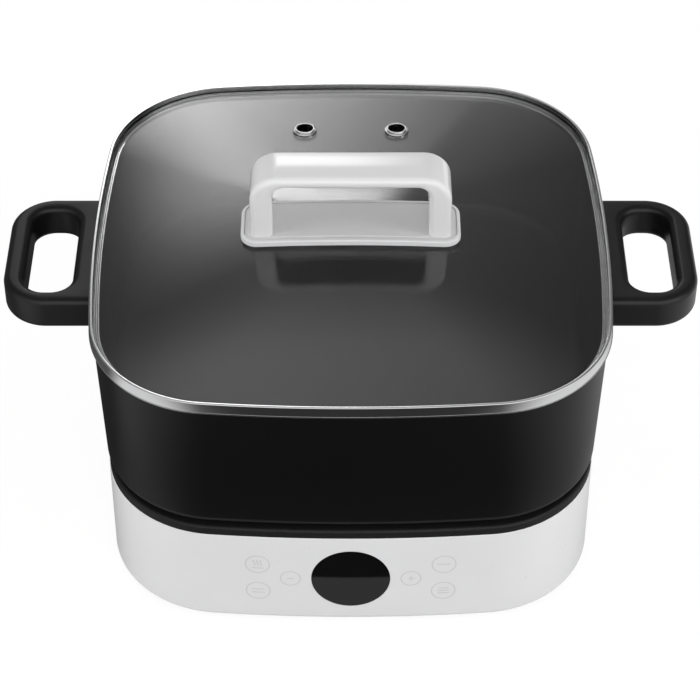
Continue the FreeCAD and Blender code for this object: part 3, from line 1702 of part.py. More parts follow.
# --------------------------------------------------------------------------- the assembly
def make_screws():
    """Every group of screws, each seated on the piece that it holds."""
    small = (s.small_head, s.small_head_height, s.small_screw)
    large = (s.large_head, s.large_head_height, s.large_screw)
    gap = s.slip_gap
    short = s.small_screw_length - gap
    deck_seat = base_bottom + s.large_head_height
    deck_reach = floor_top + s.large_screw_length - deck_seat - gap
    shield_seat = shield_top - s.shield_sheet
    plate_reach = plate_under - shield_under - gap
    fixings_at = cutout_screws_at + clip_screws_at
    fixing_seat = plate_under - s.clip_thick
    fixing_reach = s.clip_thick + s.fixing_depth - gap
    board_reach = s.board_thick + s.board_rise - gap
    control_seat = control_face - s.board_thick
    inlet_screw_seat = s.inlet_flange - inlet_seat
    lug_reach = lug_thread_top - handle_screw_seat - gap
    right_at = [(handle_screw_x, s.handle_screw_spread * side) for side in (-1, 1)]
    left_at = [(-x, y) for x, y in right_at]
    lid_seat = washer_top - s.seal_washer_thick - s.washer_thick
    lid_reach = insert_top - lid_seat - gap
    cover_reach = cover_thread_top - base_bottom - gap
    return [
        screw_group("cover_screws", cover_screws_at, base_bottom, *small, cover_reach),
        screw_group("deck_screws", posts_at, deck_seat, *large, deck_reach),
        screw_group("shield_screws", shield_screws_at, shield_seat, *small, s.shield_sheet + short),
        screw_group("plate_screws", plate_bosses_at, shield_under, *large, plate_reach),
        screw_group("plate_fixings", fixings_at, fixing_seat, *small, fixing_reach),
        screw_group("board_screws", board_posts_at, board_top, *small, board_reach, flip=True),
        screw_group(
            "control_screws", control_posts_at, control_seat, *small,
            s.board_thick + short - gap, role="XZ_Plane",
        ),
        screw_group(
            "inlet_screws", inlet_ears_at, inlet_screw_seat, *small,
            s.inlet_flange + short - gap, role="XZ_Plane", flip=True,
        ),
        screw_group("pot_handle_screws_right", right_at, handle_screw_seat, *large, lug_reach),
        screw_group("pot_handle_screws_left", left_at, handle_screw_seat, *large, lug_reach),
        screw_group("handle_screws", lid_screws_at, lid_seat, *small, lid_reach),
    ]


def build():
    """Make every sub-part and return them."""
    base = [
        make_base_housing(),
        make_bottom_cover(),
        make_foot("foot_front_left", -foot_place, -foot_place),
        make_foot("foot_front_right", foot_place, -foot_place),
        make_foot("foot_back_left", -foot_place, foot_place),
        make_foot("foot_back_right", foot_place, foot_place),
        make_deck(),
        make_deck_seal(),
        make_heating_plate(),
        make_heating_element(),
        make_heat_shield(),
        make_plate_spacers(),
        make_sensor_guide(),
        make_sensor_spring(),
        make_thermal_cutout(),
        make_thermal_fuse(),
        make_fuse_clip(),
        make_power_board(),
        make_relay(),
        make_transformer(),
        make_capacitors(),
        make_heat_sink(),
        make_power_switch(),
        make_terminal_block(),
        make_control_board(),
        make_display_module(),
        make_display_window(),
        make_touch_contacts(),
        make_buzzer(),
        make_power_inlet(),
        make_inlet_pins(),
    ]
    sensor = [
        make_sensor_cap(),
        make_sensor_clip(),
    ]
    pot = [
        make_pot_body(),
        make_pot_handle("pot_handle_right", 1),
        make_pot_handle("pot_handle_left", -1),
    ]
    shank = s.small_screw + s.slip_gap
    thread = s.small_screw + s.cast_gap
    washer_low = washer_top - s.seal_washer_thick
    lid = [
        make_lid_glass(),
        make_lid_rim(),
        make_steam_vent("steam_vent_right", 1),
        make_steam_vent("steam_vent_left", -1),
        make_handle_gasket(),
        make_handle_seat(),
        make_lid_handle(),
        lid_rings("handle_inserts", thread, s.insert_radius, insert_low, insert_top),
        lid_rings("seal_washers", shank, s.washer_radius, washer_low, washer_top),
        lid_rings("handle_washers", shank, s.washer_radius, washer_low - s.washer_thick, washer_low),
    ]
    return base + sensor + pot + lid + make_screws()


def check(bodies):
    """Stop on any failed object, loose sketch, or broken solid."""
    for thing in document.Objects:
        if "Invalid" in thing.State or "Error" in thing.State:
            raise RuntimeError(f"{thing.Label} failed: {thing.State}")
        if thing.TypeId == "Sketcher::SketchObject" and not thing.FullyConstrained:
            raise RuntimeError(f"{thing.Label} isn't fully constrained")
    for body in bodies:
        if body.Shape.isNull() or not body.Shape.isValid():
            raise RuntimeError(f"{body.Label} has no valid shape")
        if body.Shape.Volume <= 0:
            raise RuntimeError(f"{body.Label} is empty")


subparts = build()
document.recompute()
check(subparts)
os.makedirs("parts", exist_ok=True)
for part in subparts:
    part.Shape.exportStep(f"parts/{part.Label}.step")
print(f"{len(subparts)} sub-parts written")
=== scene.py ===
"""Looks of the electric hot pot: finishes, swept shells, printed keys, light, floor and camera."""
import json
import math

import bmesh
import bpy
from mathutils import Matrix, Vector


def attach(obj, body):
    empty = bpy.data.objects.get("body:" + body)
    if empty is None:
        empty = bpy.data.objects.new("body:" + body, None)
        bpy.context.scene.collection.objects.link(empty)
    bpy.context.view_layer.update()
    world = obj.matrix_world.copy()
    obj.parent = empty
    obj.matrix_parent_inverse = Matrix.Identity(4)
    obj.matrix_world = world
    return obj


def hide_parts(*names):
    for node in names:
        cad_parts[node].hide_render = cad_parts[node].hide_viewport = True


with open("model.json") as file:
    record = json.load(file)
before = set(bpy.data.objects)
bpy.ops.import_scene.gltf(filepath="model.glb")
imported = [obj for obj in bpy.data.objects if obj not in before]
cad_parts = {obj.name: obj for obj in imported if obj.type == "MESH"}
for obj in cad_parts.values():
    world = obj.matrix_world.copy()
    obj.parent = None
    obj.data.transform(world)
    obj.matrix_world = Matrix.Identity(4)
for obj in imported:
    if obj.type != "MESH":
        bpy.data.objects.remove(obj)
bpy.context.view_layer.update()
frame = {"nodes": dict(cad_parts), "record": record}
nodes = frame["nodes"]
MM = 0.001
SAME_SPOT = 1e-6


def placed(name, data):
    """A new object in the scene, for a mesh, a lamp or a camera."""
    made = bpy.data.objects.new(name, data)
    bpy.context.collection.objects.link(made)
    return made


# Camera.
SENSOR = 36.0
ELEVATION = math.radians(41.76)
TARGET = Vector((-0.0004, 0, 0.08297))
DISTANCE = 1.47111
LENS = 127.422


def place_camera():
    """A long lens that looks down on the front."""
    camera = placed("camera", bpy.data.cameras.new("camera"))
    bpy.context.scene.camera = camera
    camera.location = TARGET + DISTANCE * Vector((0, -math.cos(ELEVATION), math.sin(ELEVATION)))
    camera.rotation_mode = "QUATERNION"
    camera.rotation_quaternion = (camera.location - TARGET).to_track_quat("Z", "Y")
    camera.data.sensor_width = SENSOR
    camera.data.lens = LENS


# Node helpers.
def linear(colour):
    """An sRGB hex value such as "#e6e6e4" as linear red, green, blue and alpha."""
    parts = [int(colour[at:at + 2], 16) / 255 for at in (1, 3, 5)]
    bent = [c / 12.92 if c <= 0.04045 else ((c + 0.055) / 1.055) ** 2.4 for c in parts]
    return (*bent, 1.0)


def add(tree, kind, inputs=None, **settings):
    """Add a node; an input is a value, an output, or a node that gives its first output."""
    made = tree.nodes.new(kind)
    for name, value in settings.items():
        setattr(made, name, value)
    for name, value in (inputs or {}).items():
        if isinstance(value, bpy.types.Node):
            value = value.outputs[0]
        if isinstance(value, bpy.types.NodeSocket):
            tree.links.new(value, made.inputs[name])
        else:
            made.inputs[name].default_value = value
    return made


def per(size):
    """The texture scale whose features are this many millimetres across."""
    return 1 / (size * MM)


def start(name, sockets):
    """A material with its tree, its shader and the object's own coordinates."""
    material = bpy.data.materials.new(name)
    material.use_nodes = True
    tree = material.node_tree
    shader = tree.nodes["Principled BSDF"]
    for key, value in sockets.items():
        shader.inputs[key].default_value = value
    place = add(tree, "ShaderNodeTexCoord").outputs["Object"]
    return material, tree, shader, place


def tinted(tree, shader, amount, low, high):
    """Let the base colour drift between two hex colours as amount goes from 0 to 1."""
    drift = add(tree, "ShaderNodeMix", {
        0: amount, 6: linear(low), 7: linear(high),
    }, data_type="RGBA")
    tree.links.new(drift.outputs[2], shader.inputs["Base Color"])


def uneven(tree, shader, amount, low, high):
    """Let the roughness run from low to high as amount goes from 0 to 1."""
    spread = add(tree, "ShaderNodeMapRange", {"Value": amount, "To Min": low, "To Max": high})
    tree.links.new(spread.outputs["Result"], shader.inputs["Roughness"])


def raised(tree, shader, height, depth):
    """Raise the surface by depth millimetres where height is 1."""
    relief = add(tree, "ShaderNodeBump", {
        "Height": height, "Distance": depth * MM, "Strength": 1.0,
    })
    tree.links.new(relief.outputs["Normal"], shader.inputs["Normal"])


def grained(name, low, high, sockets, size, detail, rough, relief):
    """A material whose tint, roughness and relief all follow one noise, size millimetres wide."""
    material, tree, shader, place = start(name, sockets)
    grain = add(tree, "ShaderNodeTexNoise", {
        "Vector": place, "Scale": per(size), "Detail": detail,
    })
    tinted(tree, shader, grain, low, high)
    uneven(tree, shader, grain, *rough)
    raised(tree, shader, grain, relief)
    return material


# Plastics and rubbers.
def gloss_abs(name, low, high, rough=0.24):
    """Glossy moulded ABS: a soft sheen over the faint ripple that a polished mould leaves."""
    material, tree, shader, place = start(name, {"IOR": 1.52})
    flow = add(tree, "ShaderNodeTexNoise", {"Vector": place, "Scale": per(45), "Detail": 2.0})
    ripple = add(tree, "ShaderNodeTexNoise", {"Vector": place, "Scale": per(2.2), "Detail": 3.0})
    tinted(tree, shader, flow, low, high)
    uneven(tree, shader, ripple, rough, 1.5 * rough)
    raised(tree, shader, ripple, 0.006)
    return material


def satin_abs(name, low, high):
    """Spark-eroded ABS: a fine even grain that scatters the light; drawn at 0.7 mm to show."""
    material, tree, shader, place = start(name, {"IOR": 1.52})
    grain = add(tree, "ShaderNodeTexNoise", {"Vector": place, "Scale": per(0.7), "Detail": 4.0})
    flow = add(tree, "ShaderNodeTexNoise", {"Vector": place, "Scale": per(30), "Detail": 2.0})
    tinted(tree, shader, flow, low, high)
    uneven(tree, shader, grain, 0.42, 0.6)
    raised(tree, shader, grain, 0.02)
    return material


def phenolic(name, low, high):
    """Compression-moulded phenolic: dense satin black with a slight flow in its gloss."""
    material, tree, shader, place = start(name, {"IOR": 1.5, "Specular IOR Level": 0.24})
    flow = add(tree, "ShaderNodeTexNoise", {
        "Vector": place, "Scale": per(18), "Detail": 4.0, "Distortion": 0.8,
    })
    grain = add(tree, "ShaderNodeTexNoise", {"Vector": place, "Scale": per(0.8), "Detail": 3.0})
    tinted(tree, shader, flow, low, high)
    uneven(tree, shader, flow, 0.3, 0.42)
    raised(tree, shader, grain, 0.012)
    return material


def filled_polyester(name, low, high):
    """Glass-filled polyester: matte black with pale specks of short fibres near the surface."""
    material, tree, shader, place = start(name, {"IOR": 1.5, "Specular IOR Level": 0.2})
    fibres = add(tree, "ShaderNodeTexVoronoi", {"Vector": place, "Scale": per(1.2)})
    grain = add(tree, "ShaderNodeTexNoise", {"Vector": place, "Scale": per(0.9), "Detail": 4.0})
    tinted(tree, shader, fibres, high, low)
    uneven(tree, shader, grain, 0.42, 0.58)
    raised(tree, shader, grain, 0.02)
    return material


def piano_black(name, low, high):
    """Back-printed polycarbonate: a mirror-like black skin with hardly a ripple."""
    return grained(name, low, high, {"IOR": 1.58}, 14, 1.0, (0.03, 0.07), 0.003)


def silicone(name, low, high, rough=0.55):
    """Moulded silicone: soft matte skin that picks up a little dust."""
    return grained(
        name, low, high, {"IOR": 1.42, "Sheen Weight": 0.08}, 0.9, 5.0,
        (rough - 0.06, rough + 0.08), 0.012,
    )


# Metals.
def sprayed_coating(name, low, high):
    """Non-stick coating sprayed on cast aluminium: deep black, low gloss, with mica flecks."""
    material, tree, shader, place = start(name, {"IOR": 1.45, "Specular IOR Level": 0.22})
    flecks = add(tree, "ShaderNodeTexVoronoi", {"Vector": place, "Scale": per(0.8)})
    bright = add(tree, "ShaderNodeMapRange", {
        "Value": flecks, "From Min": 0.0, "From Max": 0.12, "To Min": 1.0, "To Max": 0.0,
    })
    peel = add(tree, "ShaderNodeTexNoise", {"Vector": place, "Scale": per(1.6), "Detail": 3.0})
    tinted(tree, shader, bright, low, high)
    uneven(tree, shader, peel, 0.3, 0.34)
    raised(tree, shader, peel, 0.0005)
    return material


def polished_steel(name, low, high, rough=0.08):
    """Polished stainless steel: near mirror, with hairlines along the rolled strip."""
    material, tree, shader, place = start(name, {"Metallic": 1.0})
    strip = add(tree, "ShaderNodeAttribute", attribute_name="strip").outputs["Vector"]
    stretch = add(tree, "ShaderNodeMapping", {"Vector": strip, "Scale": (4.0, per(0.35), 1.0)})
    hairs = add(tree, "ShaderNodeTexNoise", {"Vector": stretch, "Scale": 1.0, "Detail": 3.0})
    cloud = add(tree, "ShaderNodeTexNoise", {"Vector": place, "Scale": per(25), "Detail": 3.0})
    tinted(tree, shader, cloud, low, high)
    uneven(tree, shader, hairs, rough, rough + 0.08)
    raised(tree, shader, hairs, 0.0015)
    return material


def drawn_steel(name, low, high):
    """Drawn stainless wire and sheet: satin, lightly scored, a little uneven in tone."""
    return grained(name, low, high, {"Metallic": 1.0}, 0.6, 4.0, (0.2, 0.34), 0.004)


def zinc_plate(name, low, high):
    """Zinc-plated steel: a bluish crystalline bloom about 2 mm across."""
    material, tree, shader, place = start(name, {"Metallic": 1.0})
    bloom = add(tree, "ShaderNodeTexVoronoi", {
        "Vector": place, "Scale": per(2.4),
    }, feature="SMOOTH_F1")
    tinted(tree, shader, bloom, low, high)
    uneven(tree, shader, bloom, 0.25, 0.45)
    raised(tree, shader, bloom, 0.004)
    return material


def turned_aluminium(name, low, high):
    """Cast aluminium faced on a lathe: rings round the middle; a 0.25 mm feed drawn at 0.8 mm."""
    material, tree, shader, place = start(name, {"Metallic": 1.0})
    rings = add(tree, "ShaderNodeTexWave", {
        "Vector": place, "Scale": per(0.8) / 20, "Distortion": 0.4, "Detail": 2.0,
    }, wave_type="RINGS", rings_direction="Z")
    cloud = add(tree, "ShaderNodeTexNoise", {"Vector": place, "Scale": per(12), "Detail": 4.0})
    tinted(tree, shader, cloud, low, high)
    uneven(tree, shader, rings.outputs["Fac"], 0.24, 0.38)
    raised(tree, shader, rings.outputs["Fac"], 0.012)
    return material


def dyed_aluminium(name, low, high):
    """Black anodised extrusion: satin oxide with die lines 0.5 mm apart up the fins."""
    material, tree, shader, place = start(name, {"Metallic": 0.6})
    lines = add(tree, "ShaderNodeMapping", {"Vector": place, "Scale": (per(0.5), per(0.5), 30.0)})
    die = add(tree, "ShaderNodeTexNoise", {"Vector": lines, "Scale": 1.0, "Detail": 2.0})
    tinted(tree, shader, die, low, high)
    uneven(tree, shader, die, 0.35, 0.5)
    raised(tree, shader, die, 0.006)
    return material


def machined_brass(name, low, high):
    """Machined brass, tarnished in patches a few millimetres wide."""
    return grained(name, low, high, {"Metallic": 1.0}, 3, 4.0, (0.18, 0.34), 0.004)


# Glass, ceramic, fibre, boards.
def tempered_glass(name, low, high):
    """Tempered soda-lime glass: clear and smooth, with the long low ripple of its rollers."""
    material, tree, shader, place = start(name, {
        "IOR": 1.5, "Roughness": 0.0, "Transmission Weight": 1.0,
    })
    rollers = add(tree, "ShaderNodeTexNoise", {"Vector": place, "Scale": per(70), "Detail": 0.0})
    tinted(tree, shader, rollers, low, high)
    raised(tree, shader, rollers, 0.01)
    return material


def steatite(name, low, high):
    """Dry-pressed steatite: chalky off-white ceramic with a powder grain."""
    return grained(name, low, high, {"IOR": 1.55}, 0.5, 5.0, (0.6, 0.8), 0.02)


def glass_sleeve(name, low, high):
    """Braided glass-fibre sleeving: bundles 0.8 mm wide that cross on the slant."""
    material, tree, shader, place = start(name, {"IOR": 1.5})
    slant = add(tree, "ShaderNodeMapping", {
        "Vector": place, "Rotation": (0.0, 0.0, math.radians(45)),
    })
    braid = add(tree, "ShaderNodeTexChecker", {"Vector": slant, "Scale": per(0.8)})
    tinted(tree, shader, braid.outputs["Fac"], low, high)
    uneven(tree, shader, braid.outputs["Fac"], 0.5, 0.7)
    raised(tree, shader, braid.outputs["Fac"], 0.08)
    return material


def printed_board(name, low, high):
    """Glass-epoxy board under green mask: copper tracks 1 mm wide that show as paler lines."""
    material, tree, shader, place = start(name, {"IOR": 1.55})
    tracks = add(tree, "ShaderNodeTexBrick", {
        "Vector": place, "Scale": per(12), "Mortar Size": 0.06, "Mortar Smooth": 0.1,
        "Color1": (0, 0, 0, 1), "Color2": (0.12, 0.12, 0.12, 1), "Mortar": (1, 1, 1, 1),
    }, offset=0.35, squash=0.6)
    tinted(tree, shader, tracks.outputs["Color"], low, high)
    uneven(tree, shader, tracks.outputs["Fac"], 0.25, 0.35)
    raised(tree, shader, tracks.outputs["Fac"], 0.035)
    return material


def potting_epoxy(name, low, high):
    """Moulded epoxy package: matte, finely pitted case of a component."""
    return grained(name, low, high, {"IOR": 1.5}, 0.6, 4.0, (0.4, 0.55), 0.02)


def key_ink(name, low, high):
    """Pad-printed grey ink: a thin matte film, a little thinner in places."""
    material, tree, shader, place = start(name, {"IOR": 1.5})
    film = add(tree, "ShaderNodeTexNoise", {"Vector": place, "Scale": per(1.5), "Detail": 3.0})
    tinted(tree, shader, film, low, high)
    uneven(tree, shader, film, 0.45, 0.6)
    return material


housing_white = gloss_abs("glossy white ABS", "#c9c9ca", "#cececf")
handle_white = gloss_abs("high-gloss white ABS", "#d2d2d2", "#d6d6d6", 0.04)
seat_grey = satin_abs("satin grey ABS", "#c8c8c8", "#cecece")
handle_black = phenolic("black phenolic", "#0f0f10", "#151516")
deck_black = filled_polyester("glass-filled black polyester", "#111112", "#1c1c1d")
window_black = piano_black("piano-black polycarbonate", "#040405", "#070708")
pot_coating = sprayed_coating("sprayed non-stick coating", "#0b0b0c", "#121214")
rim_steel = polished_steel("polished stainless strip", "#c4c5c6", "#d2d2d2")
eyelet_steel = polished_steel("polished stainless eyelet", "#cfcfcf", "#dcdcdc", 0.12)
lid_clear = tempered_glass("clear tempered glass", "#f2f2f2", "#f6f6f6")
lid_gasket = silicone("grey silicone", "#cacacb", "#d0d0d1")
plate_seal = silicone("red-brown silicone", "#7c2a20", "#8b3327")
foot_rubber = silicone("black rubber", "#151516", "#1d1d1e", 0.65)
key_print = key_ink("light grey ink", "#b2b2b2", "#b8b8b8")
FINISHES = {
    "white_plastic": housing_white,
    "black_plastic": deck_black,
    "black_gloss": window_black,
    "grey_plastic": seat_grey,
    "grey_silicone": lid_gasket,
    "black_rubber": foot_rubber,
    "red_silicone": plate_seal,
    "coated_aluminium": pot_coating,
    "bare_aluminium": turned_aluminium("faced cast aluminium", "#b4b5b6", "#c3c4c5"),
    "anodised_aluminium": dyed_aluminium("black anodised aluminium", "#1b1b1d", "#29292c"),
    "steel": drawn_steel("drawn stainless steel", "#b4b4b3", "#c6c6c5"),
    "zinc_steel": zinc_plate("zinc-plated steel", "#aab0b5", "#c3c8cb"),
    "tempered_glass": lid_clear,
    "brass": machined_brass("machined brass", "#a98443", "#cba75f"),
    "board": printed_board("green circuit board", "#0f3d25", "#2b6a41"),
    "component_black": potting_epoxy("black epoxy", "#161617", "#202021"),
    "component_blue": potting_epoxy("blue epoxy", "#1c3f7a", "#25508f"),
    "component_green": potting_epoxy("green polyamide", "#2c6b3b", "#367a47"),
    "steatite": steatite("pressed steatite", "#d9d3c4", "#e6e1d5"),
    "sleeve_white": glass_sleeve("braided glass sleeve", "#cfccc2", "#e8e6df"),
}
NODE_FINISHES = {
    "pot_handle_left": handle_black,
    "pot_handle_right": handle_black,
    "lid_handle": handle_white,
}


# Geometry Nodes helpers.
def new_tree(name, sizes):
    """A geometry tree with one geometry and the named sizes as inputs; returns its two ends."""
    tree = bpy.data.node_groups.new(name, "GeometryNodeTree")
    tree.interface.new_socket("Geometry", in_out="INPUT", socket_type="NodeSocketGeometry")
    for label, kind in sizes:
        tree.interface.new_socket(label, in_out="INPUT", socket_type=f"NodeSocket{kind}")
    tree.interface.new_socket("Geometry", in_out="OUTPUT", socket_type="NodeSocketGeometry")
    given = add(tree, "NodeGroupInput").outputs
    return tree, given, add(tree, "NodeGroupOutput")


def deliver(tree, shape, finish, end):
    """End a tree: turn instances into real geometry, put the finish on and hand it over."""
    solid = add(tree, "GeometryNodeRealizeInstances", {"Geometry": shape})
    dressed = add(tree, "GeometryNodeSetMaterial", {"Geometry": solid, "Material": finish})
    tree.links.new(dressed.outputs[0], end.inputs[0])


def bake(piece, modifier):
    """Keep what a modifier makes of a piece as its plain mesh, and take the modifier off."""
    graph = bpy.context.evaluated_depsgraph_get()
    graph.update()
    mesh = bpy.data.meshes.new_from_object(piece.evaluated_get(graph))
    piece.modifiers.remove(modifier)
    piece.data = mesh


def grown(name, tree, values, start_mesh, finish):
    """Run a tree on a mesh and keep the result as a plain mesh object at the origin."""
    seed = placed(name, start_mesh)
    modifier = seed.modifiers.new(tree.name, "NODES")
    modifier.node_group = tree
    asked = [item for item in tree.interface.items_tree if item.in_out == "INPUT"]
    sockets = {item.name: item.identifier for item in asked}
    for label, value in {**values, "Finish": finish}.items():
        modifier[sockets[label]] = value
    bake(seed, modifier)
    return seed


def outline_mesh(name, points, closed=True):
    """A wire mesh through points, for a tree to sweep."""
    mesh = bpy.data.meshes.new(name)
    last = len(points) if closed else len(points) - 1
    mesh.from_pydata(points, [(at, (at + 1) % len(points)) for at in range(last)], [])
    return mesh


def smooth(piece, limit):
    """Smooth the shading except over edges that bend by more than limit degrees."""
    piece.data.shade_smooth()
    piece.data.set_sharp_from_angle(angle=math.radians(limit))


def close_shell(piece):
    """Merge doubles, close open ends and face everything outwards."""
    work = bmesh.new()
    work.from_mesh(piece.data)
    bmesh.ops.remove_doubles(work, verts=work.verts, dist=SAME_SPOT)
    bmesh.ops.holes_fill(work, edges=[e for e in work.edges if e.is_boundary])
    bmesh.ops.recalc_face_normals(work, faces=work.faces)
    work.to_mesh(piece.data)
    work.free()


def cut(piece, tool):
    """Cut a closed tool out of a piece, keep the plain mesh and drop the tool."""
    modifier = piece.modifiers.new("cut", "BOOLEAN")
    modifier.object = tool
    modifier.solver = "EXACT"
    bake(piece, modifier)
    bpy.data.objects.remove(tool)


def as_object(name, work):
    """An object that holds what a bmesh built, its faces outwards."""
    mesh = bpy.data.meshes.new(name)
    bmesh.ops.recalc_face_normals(work, faces=work.faces)
    work.to_mesh(mesh)
    work.free()
    return placed(name, mesh)


# The plan: a square of eight arcs.
SIDE_RADIUS = 900 * MM
CORNER_RADIUS = 69 * MM
CORNER_AT = 72.8 * MM
HALF = 145 * MM
SIDE_HALF = math.asin(CORNER_AT / (SIDE_RADIUS - CORNER_RADIUS))
ARC_POINTS = 25
ARC_GAP = 1e-5


def plan_tree():
    """Sweep a profile, x outwards and y downwards, round the square of eight arcs."""
    tree, given, end = new_tree("plan sweep", [
        ("Side Radius", "Float"), ("Corner Radius", "Float"), ("Corner At", "Float"),
        ("Half", "Float"), ("Finish", "Material"),
    ])
    reach = add(tree, "ShaderNodeMath", {
        0: given["Side Radius"], 1: given["Corner Radius"],
    }, operation="SUBTRACT")
    ratio = add(tree, "ShaderNodeMath", {0: given["Corner At"], 1: reach}, operation="DIVIDE")
    lean = add(tree, "ShaderNodeMath", {0: ratio}, operation="ARCSINE")
    back = add(tree, "ShaderNodeMath", {0: lean, 1: -1.0}, operation="MULTIPLY")
    both = add(tree, "ShaderNodeMath", {0: lean, 1: 2.0}, operation="MULTIPLY")
    rest = add(tree, "ShaderNodeMath", {0: math.pi / 2, 1: both}, operation="SUBTRACT")
    centre = add(tree, "ShaderNodeMath", {
        0: given["Half"], 1: given["Side Radius"],
    }, operation="SUBTRACT")
    side_at = add(tree, "ShaderNodeCombineXYZ", {"X": centre})
    corner_at = add(tree, "ShaderNodeCombineXYZ", {
        "X": given["Corner At"], "Y": given["Corner At"],
    })
    side = add(tree, "GeometryNodeCurveArc", {
        "Resolution": ARC_POINTS, "Radius": given["Side Radius"], "Start Angle": back,
        "Sweep Angle": both,
    }, mode="RADIUS")
    corner = add(tree, "GeometryNodeCurveArc", {
        "Resolution": ARC_POINTS, "Radius": given["Corner Radius"], "Start Angle": lean,
        "Sweep Angle": rest,
    }, mode="RADIUS")
    side = add(tree, "GeometryNodeTransform", {"Geometry": side, "Translation": side_at})
    corner = add(tree, "GeometryNodeTransform", {"Geometry": corner, "Translation": corner_at})
    quarter = add(tree, "GeometryNodeJoinGeometry")
    for arc in (side, corner):
        tree.links.new(arc.outputs["Geometry"], quarter.inputs["Geometry"])
    ring = add(tree, "GeometryNodeJoinGeometry")
    for turn in range(4):
        turned = add(tree, "GeometryNodeTransform", {
            "Geometry": quarter, "Rotation": (0.0, 0.0, turn * math.pi / 2),
        })
        tree.links.new(turned.outputs[0], ring.inputs[0])
    wire = add(tree, "GeometryNodeCurveToMesh", {"Curve": ring})
    wire = add(tree, "GeometryNodeMergeByDistance", {"Geometry": wire, "Distance": ARC_GAP})
    path = add(tree, "GeometryNodeMeshToCurve", {"Mesh": wire})
    path = add(tree, "GeometryNodeSetCurveNormal", {"Curve": path}, mode="Z_UP")
    along = add(tree, "GeometryNodeSplineParameter")
    path = add(tree, "GeometryNodeCaptureAttribute", {"Geometry": path})
    path.capture_items.new("FLOAT", "Along")
    tree.links.new(along.outputs["Length"], path.inputs["Along"])
    section = add(tree, "GeometryNodeMeshToCurve", {"Mesh": given["Geometry"]})
    section = add(tree, "GeometryNodeCaptureAttribute", {"Geometry": section})
    section.capture_items.new("FLOAT", "Across")
    tree.links.new(along.outputs["Length"], section.inputs["Across"])
    shell = add(tree, "GeometryNodeCurveToMesh", {"Curve": path, "Profile Curve": section})
    strip = add(tree, "ShaderNodeCombineXYZ", {
        "X": path.outputs["Along"], "Y": section.outputs["Across"],
    })
    shell = add(tree, "GeometryNodeStoreNamedAttribute", {
        "Geometry": shell, "Name": "strip", "Value": strip,
    }, data_type="FLOAT_VECTOR", domain="POINT")
    deliver(tree, shell, given["Finish"], end)
    return tree


PLAN_SWEEP = plan_tree()
PLAN_SIZES = {
    "Side Radius": SIDE_RADIUS, "Corner Radius": CORNER_RADIUS, "Corner At": CORNER_AT,
    "Half": HALF,
}


ROUND_STEPS = 5
# A corner this near to straight, in radians, stays; a round takes at most this share of an edge.
STRAIGHT = 0.02
EDGE_SHARE = 0.48
SHELL_BEND = 40


def rounded(points, radii):
    """Round each corner of a closed profile of (x, y) points by its own radius, in millimetres."""
    out = []
    for at, corner in enumerate(points):
        here = Vector(corner)
        before = Vector(points[at - 1]) - here
        after = Vector(points[(at + 1) % len(points)]) - here
        size = radii[at]
        angle = before.angle(after)
        if size <= 0 or abs(angle - math.pi) < STRAIGHT:
            out.append(here)
            continue
        room = EDGE_SHARE * min(before.length, after.length)
        reach = min(size / math.tan(angle / 2), room)
        size = reach * math.tan(angle / 2)
        before.normalize()
        after.normalize()
        first = here + before * reach
        last = here + after * reach
        middle = here + (before + after).normalized() * (size / math.sin(angle / 2))
        a, b = first - middle, last - middle
        sweep = a.angle(b)
        sign = 1 if a.x * b.y - a.y * b.x > 0 else -1
        for step in range(ROUND_STEPS + 1):
            out.append(middle + Matrix.Rotation(sign * sweep * step / ROUND_STEPS, 2) @ a)
    return out


def swept(name, profile, finish, closed=True, sizes=PLAN_SIZES):
    """A shell whose profile, in millimetres out from the outline and up, goes all round."""
    points = [(x * MM, -y * MM, 0.0) for x, y in profile]
    piece = grown(name, PLAN_SWEEP, sizes, outline_mesh(name, points, closed), finish)
    close_shell(piece)
    smooth(piece, SHELL_BEND)
    return piece


# Lid.
RIM_PROFILE = [
    (2.1, 165.8), (2.1, 166.35), (1.88, 166.4), (1.25, 171.2), (1.25, 172.2), (-0.3, 172.2),
    (-0.3, 165.4), (-1.0, 165.4), (-1.3, 165.1), (-2.0, 165.1), (-2.3, 165.4), (-3.0, 165.4),
    (-3.3, 165.1), (-4.0, 165.1), (-4.0, 164.9), (1.5, 164.9), (1.5, 165.8),
]
RIM_ROUNDS = [
    0.25, 0.0, 0.0, 0.0, 0.4, 0.15, 0.0, 0.2, 0.1, 0.1, 0.2, 0.2, 0.1, 0.0, 0.0, 0.3, 0.0,
]


def make_rim():
    """Rolled steel strip round the glass: a ridge, a skirt and a flange with two pressed beads."""
    rim = swept("lid_rim_strip", rounded(RIM_PROFILE, RIM_ROUNDS), rim_steel)
    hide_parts("lid_rim")
    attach(rim, "lid")


GLASS_SCALE = 144.5 / 145
DOME_TOP = 178.5
DOME_RISE = 9.9
GLASS_THICK = 3.2
GLASS_UNDER = 165.4
EDGE_BEVEL = 0.5


def plan_point(angle, share):
    """The point of the outline, shrunk to share, at a turn round the square of 0 to 1."""
    quarter, part = divmod(angle * 4, 1)
    if part < 0.5:
        turn = SIDE_HALF * (part * 4 - 1)
        x = HALF - SIDE_RADIUS + SIDE_RADIUS * math.cos(turn)
        y = SIDE_RADIUS * math.sin(turn)
    else:
        turn = SIDE_HALF + (math.pi / 2 - 2 * SIDE_HALF) * (part * 2 - 1)
        x = CORNER_AT + CORNER_RADIUS * math.cos(turn)
        y = CORNER_AT + CORNER_RADIUS * math.sin(turn)
    spin = quarter * math.pi / 2
    across = x * math.cos(spin) - y * math.sin(spin)
    up = x * math.sin(spin) + y * math.cos(spin)
    return Vector((across, up)) * share


def dome_level(share):
    """Height of the dome's outside, in metres, at a share of the plan."""
    return (DOME_TOP - DOME_RISE * (share / GLASS_SCALE) ** 2) * MM


AROUND = 192
DOME_RINGS = 40
VENT_X, VENT_Y = 27.4, 95.0
